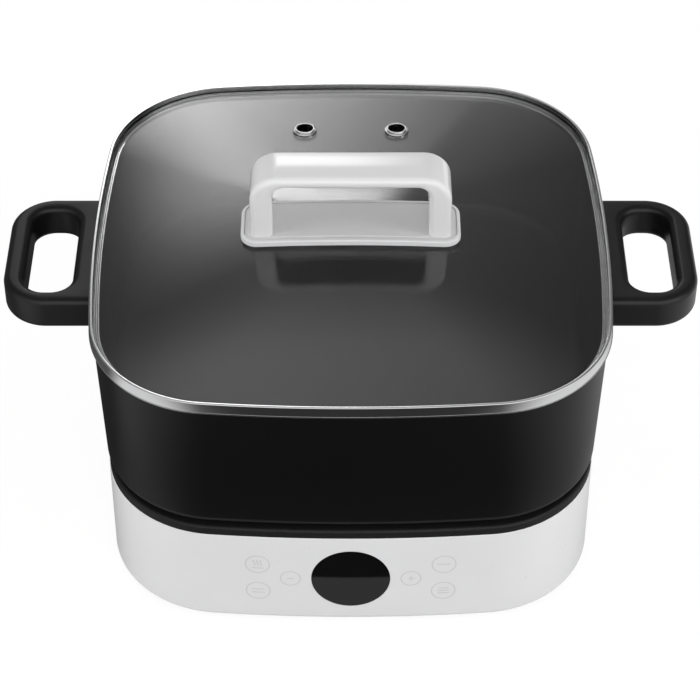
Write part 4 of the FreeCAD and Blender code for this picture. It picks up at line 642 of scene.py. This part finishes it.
# Holes in the glass, as (x, y, radius) in millimetres: two for the vents, two for the screws.
DRILLED = [(VENT_X, VENT_Y, 5.8), (-VENT_X, VENT_Y, 5.8), (50.0, 0.0, 3.0), (-50.0, 0.0, 3.0)]
DRILL_SIDES = 64
DRILL_LONG = 40
GLASS_BEND = 25


def drill_bits():
    """Upright bars where the glass is drilled."""
    work = bmesh.new()
    for x, y, radius in DRILLED:
        stand = Matrix.Translation((x * MM, y * MM, DOME_TOP * MM))
        bmesh.ops.create_cone(
            work, cap_ends=True, segments=DRILL_SIDES, radius1=radius * MM, radius2=radius * MM,
            depth=DRILL_LONG * MM, matrix=stand,
        )
    return as_object("drill_bits", work)


def make_glass():
    """Shallow dome of even thickness with a ground edge, drilled for its vents and screws."""
    work = bmesh.new()
    rings = []
    edge = (HALF - EDGE_BEVEL * MM) / HALF

    def ring(share, level):
        spots = [(*plan_point(at / AROUND, share), level) for at in range(AROUND)]
        rings.append([work.verts.new(spot) for spot in spots])

    for step in range(1, DOME_RINGS + 1):
        share = GLASS_SCALE * edge * step / DOME_RINGS
        ring(share, dome_level(share))
    ring(GLASS_SCALE, dome_level(GLASS_SCALE) - EDGE_BEVEL * MM)
    ring(GLASS_SCALE, (GLASS_UNDER + EDGE_BEVEL) * MM)
    ring(GLASS_SCALE * edge, GLASS_UNDER * MM)
    for step in range(DOME_RINGS - 1, 0, -1):
        share = GLASS_SCALE * edge * step / DOME_RINGS
        ring(share, max(dome_level(share) - GLASS_THICK * MM, GLASS_UNDER * MM))
    top = work.verts.new((0, 0, dome_level(0)))
    low = work.verts.new((0, 0, dome_level(0) - GLASS_THICK * MM))
    for first, second in zip(rings, rings[1:]):
        for at in range(AROUND):
            after = (at + 1) % AROUND
            work.faces.new((first[at], second[at], second[after], first[after]))
    for at in range(AROUND):
        after = (at + 1) % AROUND
        work.faces.new((top, rings[0][at], rings[0][after]))
        work.faces.new((low, rings[-1][after], rings[-1][at]))
    glass = as_object("lid_dome", work)
    cut(glass, drill_bits())
    glass.data.materials.append(lid_clear)
    smooth(glass, GLASS_BEND)
    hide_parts("lid_glass")
    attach(glass, "lid")


VENT_BORE = 4.9
# The same plan as a circle: one radius for all, and the corner arcs' centres in the middle.
VENT_RING = {**dict.fromkeys(PLAN_SIZES, VENT_BORE * MM), "Corner At": 0.0}
# From the bore outwards and from the glass upwards, in millimetres.
VENT_PROFILE = [
    (0.0, -4.1), (1.5, -4.1), (1.5, -3.3), (0.5, -3.3), (0.5, 0.15), (2.3, 0.15),
    (2.3, 0.7), (1.35, 0.95), (1.2, 0.6), (0.95, 0.6), (0.95, 1.85), (0.0, 1.85),
]
VENT_ROUNDS = [0.2, 0.3, 0.0, 0.0, 0.0, 0.1, 0.15, 0.1, 0.05, 0.05, 0.35, 0.35]


def dome_over(x, y):
    """Height of the dome's outside over a point near its back edge."""
    reach = SIDE_RADIUS - HALF
    spread = SIDE_RADIUS ** 2 - reach ** 2
    root = math.sqrt((reach * y) ** 2 + spread * (x * x + y * y))
    return dome_level((reach * y + root) / spread)


def make_vents():
    """Rolled steel eyelets, square to the dome: a low flange and a raised lip round the hole."""
    step = 0.1 * MM
    x, y = VENT_X * MM, VENT_Y * MM
    fall = (dome_over(x, y - step) - dome_over(x, y + step)) / (2 * step)
    lean = Matrix.Rotation(-math.atan(fall), 4, "X")
    for side, node in ((-1, "steam_vent_left"), (1, "steam_vent_right")):
        vent = swept(
            node + "_eyelet", rounded(VENT_PROFILE, VENT_ROUNDS), eyelet_steel, sizes=VENT_RING,
        )
        vent.data.transform(Matrix.Translation((side * x, y, dome_over(x, y))) @ lean)
        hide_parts(node)
        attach(vent, "lid")


# Pot.
def arc_points(x, y, radius, begin, finish, steps):
    """Points of an arc of a profile, the angles in degrees."""
    turns = [math.radians(begin + (finish - begin) * at / steps) for at in range(steps + 1)]
    return [(x + radius * math.cos(t), y + radius * math.sin(t)) for t in turns]


POT_LOW, POT_HIGH = 76.1, 164.9
POT_DRAFT, POT_WALL, POT_FLOOR = 2.8, 3.0, 3.4
POT_FOOT, POT_HOLLOW, POT_LIP = 8.0, 9.0, 1.0
POT_THINNED = 0.3
POT_MIDDLE = -30.0
# The lug on the right wall: its lowest and highest x, y and z in millimetres.
LUG = ((143.5, 152.5), (-16.0, 16.0), (146.8, 154.8))


def make_pot():
    """Cast pot: drafted walls, a rounded foot and lip, and the two lugs for its handles."""
    lean = math.degrees(math.atan(POT_DRAFT / (POT_HIGH - POT_LOW)))
    outside = arc_points(-POT_DRAFT - POT_FOOT, POT_LOW + POT_FOOT, POT_FOOT, -90, -lean, 12)
    lip = arc_points(-POT_LIP, POT_HIGH - POT_LIP, POT_LIP, 0, 90, 5)
    lip += arc_points(-POT_WALL + POT_LIP, POT_HIGH - POT_LIP, POT_LIP, 90, 180, 5)
    hollow = -POT_WALL - POT_DRAFT - POT_HOLLOW + POT_THINNED
    inside = arc_points(hollow, POT_LOW + POT_FLOOR + POT_HOLLOW, POT_HOLLOW, -lean, -90, 12)
    profile = [(POT_MIDDLE, POT_LOW)] + outside + lip + inside
    profile.append((POT_MIDDLE, POT_LOW + POT_FLOOR))
    pot = swept("pot_shell", profile, pot_coating, closed=False)
    work = bmesh.new()
    work.from_mesh(pot.data)
    for side in (-1, 1):
        lug = bmesh.ops.create_cube(work, size=1.0)["verts"]
        for corner in lug:
            for axis, (low, high) in enumerate(LUG):
                corner.co[axis] = (low + (corner.co[axis] + 0.5) * (high - low)) * MM
            corner.co.x *= side
        faces = list({face for corner in lug for face in corner.link_faces})
        bmesh.ops.recalc_face_normals(work, faces=faces)
    work.to_mesh(pot.data)
    work.free()
    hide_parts("pot_body")
    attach(pot, "pot")


# Screws.
def islands(mesh):
    """The points of each separate solid of a mesh, in the order of their first points."""
    work = bmesh.new()
    work.from_mesh(mesh)
    bmesh.ops.remove_doubles(work, verts=work.verts, dist=SAME_SPOT)
    reached = set()
    found = []
    for begin in work.verts:
        if begin in reached:
            continue
        reached.add(begin)
        front, group = [begin], []
        while front:
            point = front.pop()
            group.append(point.co.copy())
            for edge in point.link_edges:
                other = edge.other_vert(point)
                if other not in reached:
                    reached.add(other)
                    front.append(other)
        found.append(group)
    work.free()
    return found


def read_screw(points):
    """Where a screw's head starts, which way it points, and its four sizes."""
    low = Vector([min(p[axis] for p in points) for axis in range(3)])
    high = Vector([max(p[axis] for p in points) for axis in range(3)])
    size = high - low
    axis = min(range(3), key=lambda a: abs(size[(a + 1) % 3] - size[(a + 2) % 3]))
    middle = (low + high) / 2
    across = (axis + 1) % 3
    head = size[across] / 2
    ends = [[p for p in points if abs(p[axis] - end[axis]) < SAME_SPOT] for end in (low, high)]
    wide = [max(abs(p[across] - middle[across]) for p in end) for end in ends]
    at_low = wide[0] > wide[1]
    steps = sorted({round(p[axis], 6) for p in points})
    seat = steps[1] if at_low else steps[-2]
    top = low[axis] if at_low else high[axis]
    place = middle.copy()
    place[axis] = top
    point = Vector((0, 0, 0))
    point[axis] = 1.0 if at_low else -1.0
    return place, point, head, abs(seat - top), min(wide), size[axis]


THREAD_PITCH = 1.0 * MM
SCREW_SIDES = 24
SCREW_BEND = 35
# Shares of the head's radius and height, from its crown to its seat.
HEAD_CURVE = [(0.72, 0.0), (0.93, 0.22), (1.0, 0.55), (1.0, 1.0)]
THREAD_ROOT, THREAD_START, SCREW_TIP = 0.86, 0.02, 0.5
RECESS_ARM, RECESS_HALF, RECESS_DEEP, RECESS_FOOT = 0.62, 0.13, 0.7, 0.6
RECESS_PROUD = 0.2 * MM


def screw_blank(head, height, shank, length):
    """A pan head with a cross recess over a threaded shank, its head's top at the origin."""
    turns = max(3, int((length - height) / THREAD_PITCH))
    step = (length - height) / turns
    profile = [(0.0, 0.0)] + [(head * out, height * down) for out, down in HEAD_CURVE]
    for at in range(turns):
        level = height + step * at
        profile.append((shank * THREAD_ROOT, level + THREAD_START * step))
        profile.append((shank, level + 0.5 * step))
    profile += [(shank * SCREW_TIP, length), (0.0, length)]
    work = bmesh.new()
    rings = []
    for radius, level in profile:
        around = [math.tau * at / SCREW_SIDES for at in range(SCREW_SIDES)] if radius else [0.0]
        spots = [(radius * math.cos(turn), radius * math.sin(turn), level) for turn in around]
        rings.append([work.verts.new(spot) for spot in spots])
    for first, second in zip(rings, rings[1:]):
        for at in range(SCREW_SIDES):
            corners = [first[at % len(first)], second[at % len(second)]]
            corners += [second[(at + 1) % len(second)], first[(at + 1) % len(first)]]
            work.faces.new(list(dict.fromkeys(corners)))
    blank = as_object("screw_blank", work)
    arm, half, deep = head * RECESS_ARM, head * RECESS_HALF, height * RECESS_DEEP
    corners = [(arm, half), (half, half), (half, arm)]
    cross = []
    for _ in range(4):
        cross += corners
        corners = [(-y, x) for x, y in corners]
    work = bmesh.new()
    mouth = [work.verts.new((x, y, -RECESS_PROUD)) for x, y in cross]
    floor = [work.verts.new((x * RECESS_FOOT, y * RECESS_FOOT, deep)) for x, y in cross]
    work.faces.new(mouth)
    work.faces.new(floor[::-1])
    for at in range(-1, len(cross) - 1):
        work.faces.new((mouth[at], floor[at], floor[at + 1], mouth[at + 1]))
    cut(blank, as_object("recess", work))
    return blank


def screw_tree():
    """Stand a blank on every point, along the point's own direction, each turned at random."""
    tree, given, end = new_tree("screw row", [
        ("Blank", "Object"), ("Seed", "Int"), ("Finish", "Material"),
    ])
    points = add(tree, "GeometryNodeMeshToPoints", {"Mesh": given["Geometry"]})
    blank = add(tree, "GeometryNodeObjectInfo", {"Object": given["Blank"]})
    way = add(tree, "GeometryNodeInputNamedAttribute", {"Name": "way"}, data_type="FLOAT_VECTOR")
    spin = add(tree, "FunctionNodeRandomValue", {
        "Seed": given["Seed"], 2: 0.0, 3: math.tau,
    }, data_type="FLOAT")
    turned = add(tree, "ShaderNodeCombineXYZ", {"Z": spin.outputs[1]})
    aligned = add(tree, "FunctionNodeAlignRotationToVector", {"Vector": way}, axis="Z")
    stood = add(tree, "FunctionNodeRotateRotation", {
        "Rotation": aligned, "Rotate By": turned,
    }, rotation_space="LOCAL")
    row = add(tree, "GeometryNodeInstanceOnPoints", {
        "Points": points, "Instance": blank.outputs["Geometry"], "Rotation": stood,
    })
    deliver(tree, row, given["Finish"], end)
    return tree


SCREW_ROW = screw_tree()
SCREWS = {
    "cover_screws": ("base", "zinc_steel"),
    "deck_screws": ("base", "zinc_steel"),
    "pot_handle_screws_left": ("pot", "steel"),
    "pot_handle_screws_right": ("pot", "steel"),
    "handle_screws": ("lid", "steel"),
}


def make_screws():
    """Recessed, threaded screws in place of the plain ones that can be seen."""
    for seed, (node, (body, slot)) in enumerate(SCREWS.items()):
        read = [read_screw(points) for points in islands(nodes[node].data)]
        blank = screw_blank(*read[0][2:])
        mesh = bpy.data.meshes.new(node + "_row")
        mesh.from_pydata([place for place, *_ in read], [], [])
        way = mesh.attributes.new("way", "FLOAT_VECTOR", "POINT")
        way.data.foreach_set("vector", [part for _, point, *_ in read for part in point])
        row = grown(node + "_row", SCREW_ROW, {"Blank": blank, "Seed": seed}, mesh, FINISHES[slot])
        bpy.data.objects.remove(blank)
        smooth(row, SCREW_BEND)
        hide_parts(node)
        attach(row, body)


# Printed keys.
KEY_HIGH, KEY_MIDDLE, KEY_LOW = 47.0, 36.4, 25.6
KEY_OUTER, KEY_INNER = 52.4, 34.0
OUTER_RING, INNER_RING = 6.7, 5.6
RING_STEPS, WISP_STEPS = 48, 12
WALL_INSET = 3.2
LINE_WIDTH = 0.55
INK_THICK = 0.03


def key_tree():
    """Lay flat strips along printed lines and bend them on to the curved front wall."""
    tree, given, end = new_tree("printed marks", [
        ("Line Width", "Float"), ("Wall Radius", "Float"), ("Wall Centre", "Float"),
        ("Film", "Float"), ("Finish", "Material"),
    ])
    path = add(tree, "GeometryNodeMeshToCurve", {"Mesh": given["Geometry"]})
    path = add(tree, "GeometryNodeSetCurveNormal", {"Curve": path}, mode="Z_UP")
    half = add(tree, "ShaderNodeMath", {0: given["Line Width"], 1: 2.0}, operation="DIVIDE")
    left = add(tree, "ShaderNodeMath", {0: half, 1: -1.0}, operation="MULTIPLY")
    first = add(tree, "ShaderNodeCombineXYZ", {"X": left})
    last = add(tree, "ShaderNodeCombineXYZ", {"X": half})
    stroke = add(tree, "GeometryNodeCurvePrimitiveLine", {"Start": first, "End": last})
    strip = add(tree, "GeometryNodeCurveToMesh", {"Curve": path, "Profile Curve": stroke})
    flat = add(tree, "GeometryNodeInputPosition")
    parts = add(tree, "ShaderNodeSeparateXYZ", {"Vector": flat})
    reach = add(tree, "ShaderNodeMath", {
        0: given["Wall Radius"], 1: given["Film"],
    }, operation="ADD")
    slope = add(tree, "ShaderNodeMath", {0: parts.outputs["X"], 1: reach}, operation="DIVIDE")
    turn = add(tree, "ShaderNodeMath", {0: slope}, operation="ARCSINE")
    drop = add(tree, "ShaderNodeMath", {0: turn}, operation="COSINE")
    depth = add(tree, "ShaderNodeMath", {0: drop, 1: reach}, operation="MULTIPLY")
    front = add(tree, "ShaderNodeMath", {0: given["Wall Centre"], 1: depth}, operation="SUBTRACT")
    bent = add(tree, "ShaderNodeCombineXYZ", {
        "X": parts.outputs["X"], "Y": front, "Z": parts.outputs["Y"],
    })
    laid = add(tree, "GeometryNodeSetPosition", {"Geometry": strip, "Position": bent})
    deliver(tree, laid, given["Finish"], end)
    return tree


def ring_line(x, y, radius):
    """A closed circle of points."""
    turns = [math.tau * at / RING_STEPS for at in range(RING_STEPS)]
    return [(x + radius * math.cos(turn), y + radius * math.sin(turn)) for turn in turns], True


def wisp_line(x, low, high, swing):
    """A rising wisp of steam."""
    shares = [at / WISP_STEPS for at in range(WISP_STEPS + 1)]
    return [(x + swing * math.sin(math.tau * s), low + (high - low) * s) for s in shares], False


def bar_line(x, y, half):
    """A level bar that reaches half to each side of x."""
    return [(x - half, y), (x + half, y)], False


def key_lines():
    """Rings and signs of the keys, as (points, closed) on the flattened wall in millimetres."""
    lines = []
    for side in (-1, 1):
        outer, inner = side * KEY_OUTER, side * KEY_INNER
        lines += [ring_line(outer, level, OUTER_RING) for level in (KEY_HIGH, KEY_LOW)]
        lines += [ring_line(inner, KEY_MIDDLE, INNER_RING), bar_line(inner, KEY_MIDDLE, 2.0)]
    lines.append(([(KEY_INNER, KEY_MIDDLE - 2.0), (KEY_INNER, KEY_MIDDLE + 2.0)], False))
    for step in (-1, 0, 1):
        lines.append(wisp_line(-KEY_OUTER + 1.9 * step, KEY_HIGH - 1.2, KEY_HIGH + 3.4, 0.5))
    lines += [
        bar_line(-KEY_OUTER, KEY_HIGH - 2.9, 3.4), bar_line(-KEY_OUTER, KEY_LOW + 1.2, 3.6),
        bar_line(-KEY_OUTER, KEY_LOW - 1.4, 3.6), bar_line(KEY_OUTER, KEY_HIGH, 3.6),
    ]
    for step in (-1, 0, 1):
        lines.append(bar_line(KEY_OUTER, KEY_LOW + 2.0 * step, 3.2))
    return lines


def make_keys():
    """Faint printed rings and signs of the touch keys on the front wall."""
    points, edges = [], []
    for line, closed in key_lines():
        first = len(points)
        points += [(x * MM, y * MM, 0.0) for x, y in line]
        edges += [(first + at, first + at + 1) for at in range(len(line) - 1)]
        if closed:
            edges.append((len(points) - 1, first))
    mesh = bpy.data.meshes.new("key_marks")
    mesh.from_pydata(points, edges, [])
    sizes = {
        "Line Width": LINE_WIDTH * MM, "Wall Radius": SIDE_RADIUS - WALL_INSET * MM,
        "Wall Centre": SIDE_RADIUS - HALF, "Film": INK_THICK * MM,
    }
    keys = grown("key_marks", key_tree(), sizes, mesh, key_print)
    work = bmesh.new()
    work.from_mesh(keys.data)
    bmesh.ops.recalc_face_normals(work, faces=work.faces)
    turned = [face for face in work.faces if face.normal.y > 0]
    bmesh.ops.reverse_faces(work, faces=turned)
    work.to_mesh(keys.data)
    work.free()
    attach(keys, "base")


# Carried-over solids.
SOLID_BEND = 30


def soften_tree():
    """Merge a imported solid's loose triangles and smooth across edges flatter than a limit."""
    tree, given, end = new_tree("soften", [("Limit", "Float")])
    merged = add(tree, "GeometryNodeMergeByDistance", {
        "Geometry": given["Geometry"], "Distance": SAME_SPOT,
    })
    shaded = add(tree, "GeometryNodeSetShadeSmooth", {"Geometry": merged}, domain="FACE")
    bend = add(tree, "GeometryNodeInputMeshEdgeAngle")
    flat = add(tree, "FunctionNodeCompare", {0: bend, 1: given["Limit"]}, operation="LESS_EQUAL")
    edges = add(tree, "GeometryNodeSetShadeSmooth", {
        "Geometry": shaded, "Shade Smooth": flat,
    }, domain="EDGE")
    tree.links.new(edges.outputs[0], end.inputs[0])
    return tree


def dress_nodes():
    """Give every carried-over solid its finish and smooth its shading."""
    slot_of = {part["node"]: part["material_slot"] for part in frame["record"]["subparts"]}
    tree = soften_tree()
    limit = next(item.identifier for item in tree.interface.items_tree if item.name == "Limit")
    for node, solid in nodes.items():
        solid.data.materials.clear()
        solid.data.materials.append(NODE_FINISHES.get(node, FINISHES[slot_of[node]]))
        modifier = solid.modifiers.new("soften", "NODES")
        modifier.node_group = tree
        modifier[limit] = math.radians(SOLID_BEND)


# Floor, world and lamps.
SHADOW_SHARE = 0.2
FLOOR_HALF = 6
PAPER_GLOW = 1.06


def make_floor():
    """White paper floor that keeps the shadow and stays pale where a lens or the glass sees it;
    for reflections it glows with a painted pattern instead, brightest far aside.
    """
    mesh = bpy.data.meshes.new("floor")
    half = FLOOR_HALF
    corners = [(-half, -half, 0), (half, -half, 0), (half, half, 0), (-half, half, 0)]
    mesh.from_pydata(corners, [], [(0, 1, 2, 3)])
    floor = placed("floor", mesh)
    material, tree, paper, place = start("white paper", {
        "Roughness": 0.9, "Specular IOR Level": 0.1,
    })
    fibre = add(tree, "ShaderNodeTexNoise", {"Vector": place, "Scale": per(8), "Detail": 3.0})
    tinted(tree, paper, fibre, "#f2f2f1", "#f6f6f5")
    ray = add(tree, "ShaderNodeLightPath").outputs
    spot = add(tree, "ShaderNodeSeparateXYZ", {"Vector": place}).outputs
    aside = add(tree, "ShaderNodeMath", {0: spot["X"]}, operation="ABSOLUTE")
    # Painted reflection: the paper glows only for reflections, by these fades: far aside, just in
    # front, past the left, behind.
    fades = [
        (aside, 0.1, 0.36, 0.045, 1.0), (spot["Y"], -0.178, -0.176, 0.0, 0.42),
        (spot["X"], -0.16, -0.05, 0.0, 1.0), (spot["Y"], -0.15, -0.03, 1.0, 0.12),
    ]
    wide, near, left, behind = [
        add(tree, "ShaderNodeMapRange", {
            "Value": value, "From Min": low, "From Max": high, "To Min": first, "To Max": last,
        }, interpolation_type="SMOOTHSTEP")
        for value, low, high, first, last in fades
    ]
    front = add(tree, "ShaderNodeMath", {0: wide, 1: near}, operation="MAXIMUM")
    dim = add(tree, "ShaderNodeMath", {0: left, 1: behind}, operation="MAXIMUM")
    seen = add(tree, "ShaderNodeMath", {0: front, 1: dim}, operation="MULTIPLY")
    white = linear("#ffffff")
    glow = add(tree, "ShaderNodeEmission", {"Color": white, "Strength": PAPER_GLOW})
    # A painted reflection: what glossy rays see of the floor is this glow, not the lit paper.
    reflected_glow = add(tree, "ShaderNodeEmission", {"Color": white, "Strength": seen})
    shown = add(tree, "ShaderNodeMixShader", {0: SHADOW_SHARE, 1: glow, 2: paper})
    clear = add(tree, "ShaderNodeMath", {
        0: ray["Is Camera Ray"], 1: ray["Is Transmission Ray"],
    }, operation="MAXIMUM")
    lit = add(tree, "ShaderNodeMixShader", {0: clear, 1: paper, 2: shown})
    out = add(tree, "ShaderNodeMixShader", {0: ray["Is Glossy Ray"], 1: lit, 2: reflected_glow})
    tree.links.new(out.outputs[0], tree.nodes["Material Output"].inputs["Surface"])
    mesh.materials.append(material)


# Soft boxes that reflections see: a strength, and the edges it fades over, each as an axis of the
# ray, from, to, first share and last share. A bearing is the ray's direction on the level.
SOFT_BOXES = {
    "back": (2.75, [
        ("z", 0.22, 0.34, 0.0, 1.0), ("z", 0.565, 0.645, 1.0, 0.0),
        ("bearing x", -0.32, -0.12, 0.0, 1.0), ("bearing x", -0.13, 0.09, 1.0, 0.0),
        ("bearing y", 0.0, 0.1, 0.0, 1.0),
    ]),
    "top": (0.78, [
        ("z", 0.61, 0.82, 0.0, 1.0), ("x", -0.50, 0.0, 0.0, 1.0),
        ("x", -0.12, 0.32, 1.0, 0.0), ("y", -0.1, 0.2, 0.0, 1.0),
    ]),
    "spill round the back": (0.76, [
        ("z", 0.27, 0.37, 0.0, 1.0), ("z", 0.54, 0.73, 1.0, 0.0),
        ("bearing x", -0.46, 0.0, 0.0, 1.0), ("bearing x", -0.20, 0.38, 1.0, 0.0),
        ("bearing y", 0.0, 0.1, 0.0, 1.0),
    ]),
    "core of the back": (3.8, [
        ("z", 0.548, 0.572, 0.0, 1.0), ("z", 0.6, 0.622, 1.0, 0.0),
        ("bearing x", -0.12, -0.096, 0.0, 1.0), ("bearing x", -0.01, 0.075, 1.0, 0.0),
        ("bearing y", 0.0, 0.1, 0.0, 1.0),
    ]),
    "front": (2.2, [
        ("z", -0.05, 0.05, 0.0, 1.0), ("z", 0.66, 0.76, 1.0, 0.0),
        ("y", -0.5, 0.1, 1.0, 0.0), ("x", -0.9, 0.1, 0.35, 1.0),
    ]),
}
DIM_ROOM = 0.2
PLAIN_LIGHT = 0.5


def make_world():
    """White for the lens, a plain level for the light, and soft boxes for reflections."""
    world = bpy.data.worlds.new("studio")
    bpy.context.scene.world = world
    world.use_nodes = True
    tree = world.node_tree
    way = add(tree, "ShaderNodeTexCoord").outputs["Generated"]
    part = add(tree, "ShaderNodeSeparateXYZ", {"Vector": way}).outputs
    level = add(tree, "ShaderNodeVectorMath", {0: way, 1: (1.0, 1.0, 0.0)}, operation="MULTIPLY")
    level = add(tree, "ShaderNodeVectorMath", {0: level}, operation="NORMALIZE")
    bearing = add(tree, "ShaderNodeSeparateXYZ", {"Vector": level}).outputs
    axes = {
        "x": part["X"], "y": part["Y"], "z": part["Z"], "bearing x": bearing["X"],
        "bearing y": bearing["Y"],
    }
    room = DIM_ROOM
    for total, edges in SOFT_BOXES.values():
        for axis, low, high, first, last in edges:
            fade = add(tree, "ShaderNodeMapRange", {
                "Value": axes[axis], "From Min": low, "From Max": high, "To Min": first,
                "To Max": last,
            }, interpolation_type="SMOOTHSTEP")
            total = add(tree, "ShaderNodeMath", {0: total, 1: fade}, operation="MULTIPLY")
        room = add(tree, "ShaderNodeMath", {0: room, 1: total}, operation="ADD")
    ray = add(tree, "ShaderNodeLightPath").outputs
    mirrored = add(tree, "ShaderNodeMath", {
        0: ray["Is Glossy Ray"], 1: ray["Is Transmission Ray"],
    }, operation="MAXIMUM")
    strength = add(tree, "ShaderNodeMix", {
        0: mirrored, 2: PLAIN_LIGHT, 3: room,
    }, data_type="FLOAT")
    strength = add(tree, "ShaderNodeMix", {
        0: ray["Is Camera Ray"], 2: strength, 3: 1.0,
    }, data_type="FLOAT")
    background = tree.nodes["Background"]
    background.inputs["Color"].default_value = linear("#ffffff")
    tree.links.new(strength.outputs[0], background.inputs["Strength"])


# Soft rectangular lamps: place, width and depth in metres, and power in watts.
LAMPS = {
    "overhead lamp": ((-0.1, 0.2, 1.7), 1.6, 1.2, 5.2),
    "front lamp": ((0.3, -2.1, 1.0), 1.6, 1.0, 15),
    "left lamp": ((-1.8, -0.7, 0.7), 0.8, 0.8, 16.5),
    "right lamp": ((1.8, -0.7, 0.7), 0.8, 0.8, 18.5),
}
LAMP_AIM = Vector((0, 0, 0.1))


def make_lamps():
    """Hang the lamps, aimed at the middle of the object and left out of reflections."""
    for name, (at, wide, deep, power) in LAMPS.items():
        light = bpy.data.lights.new(name, "AREA")
        light.shape = "RECTANGLE"
        light.size = wide
        light.size_y = deep
        light.energy = power
        holder = placed(name, light)
        holder.location = at
        holder.rotation_mode = "QUATERNION"
        holder.rotation_quaternion = (Vector(at) - LAMP_AIM).to_track_quat("Z", "Y")
        holder.visible_glossy = False
        holder.visible_transmission = False


place_camera()
make_world()
make_lamps()
make_floor()
dress_nodes()
make_pot()
make_glass()
make_rim()
make_vents()
make_screws()
make_keys()
bpy.context.scene.view_settings.view_transform = "Standard"
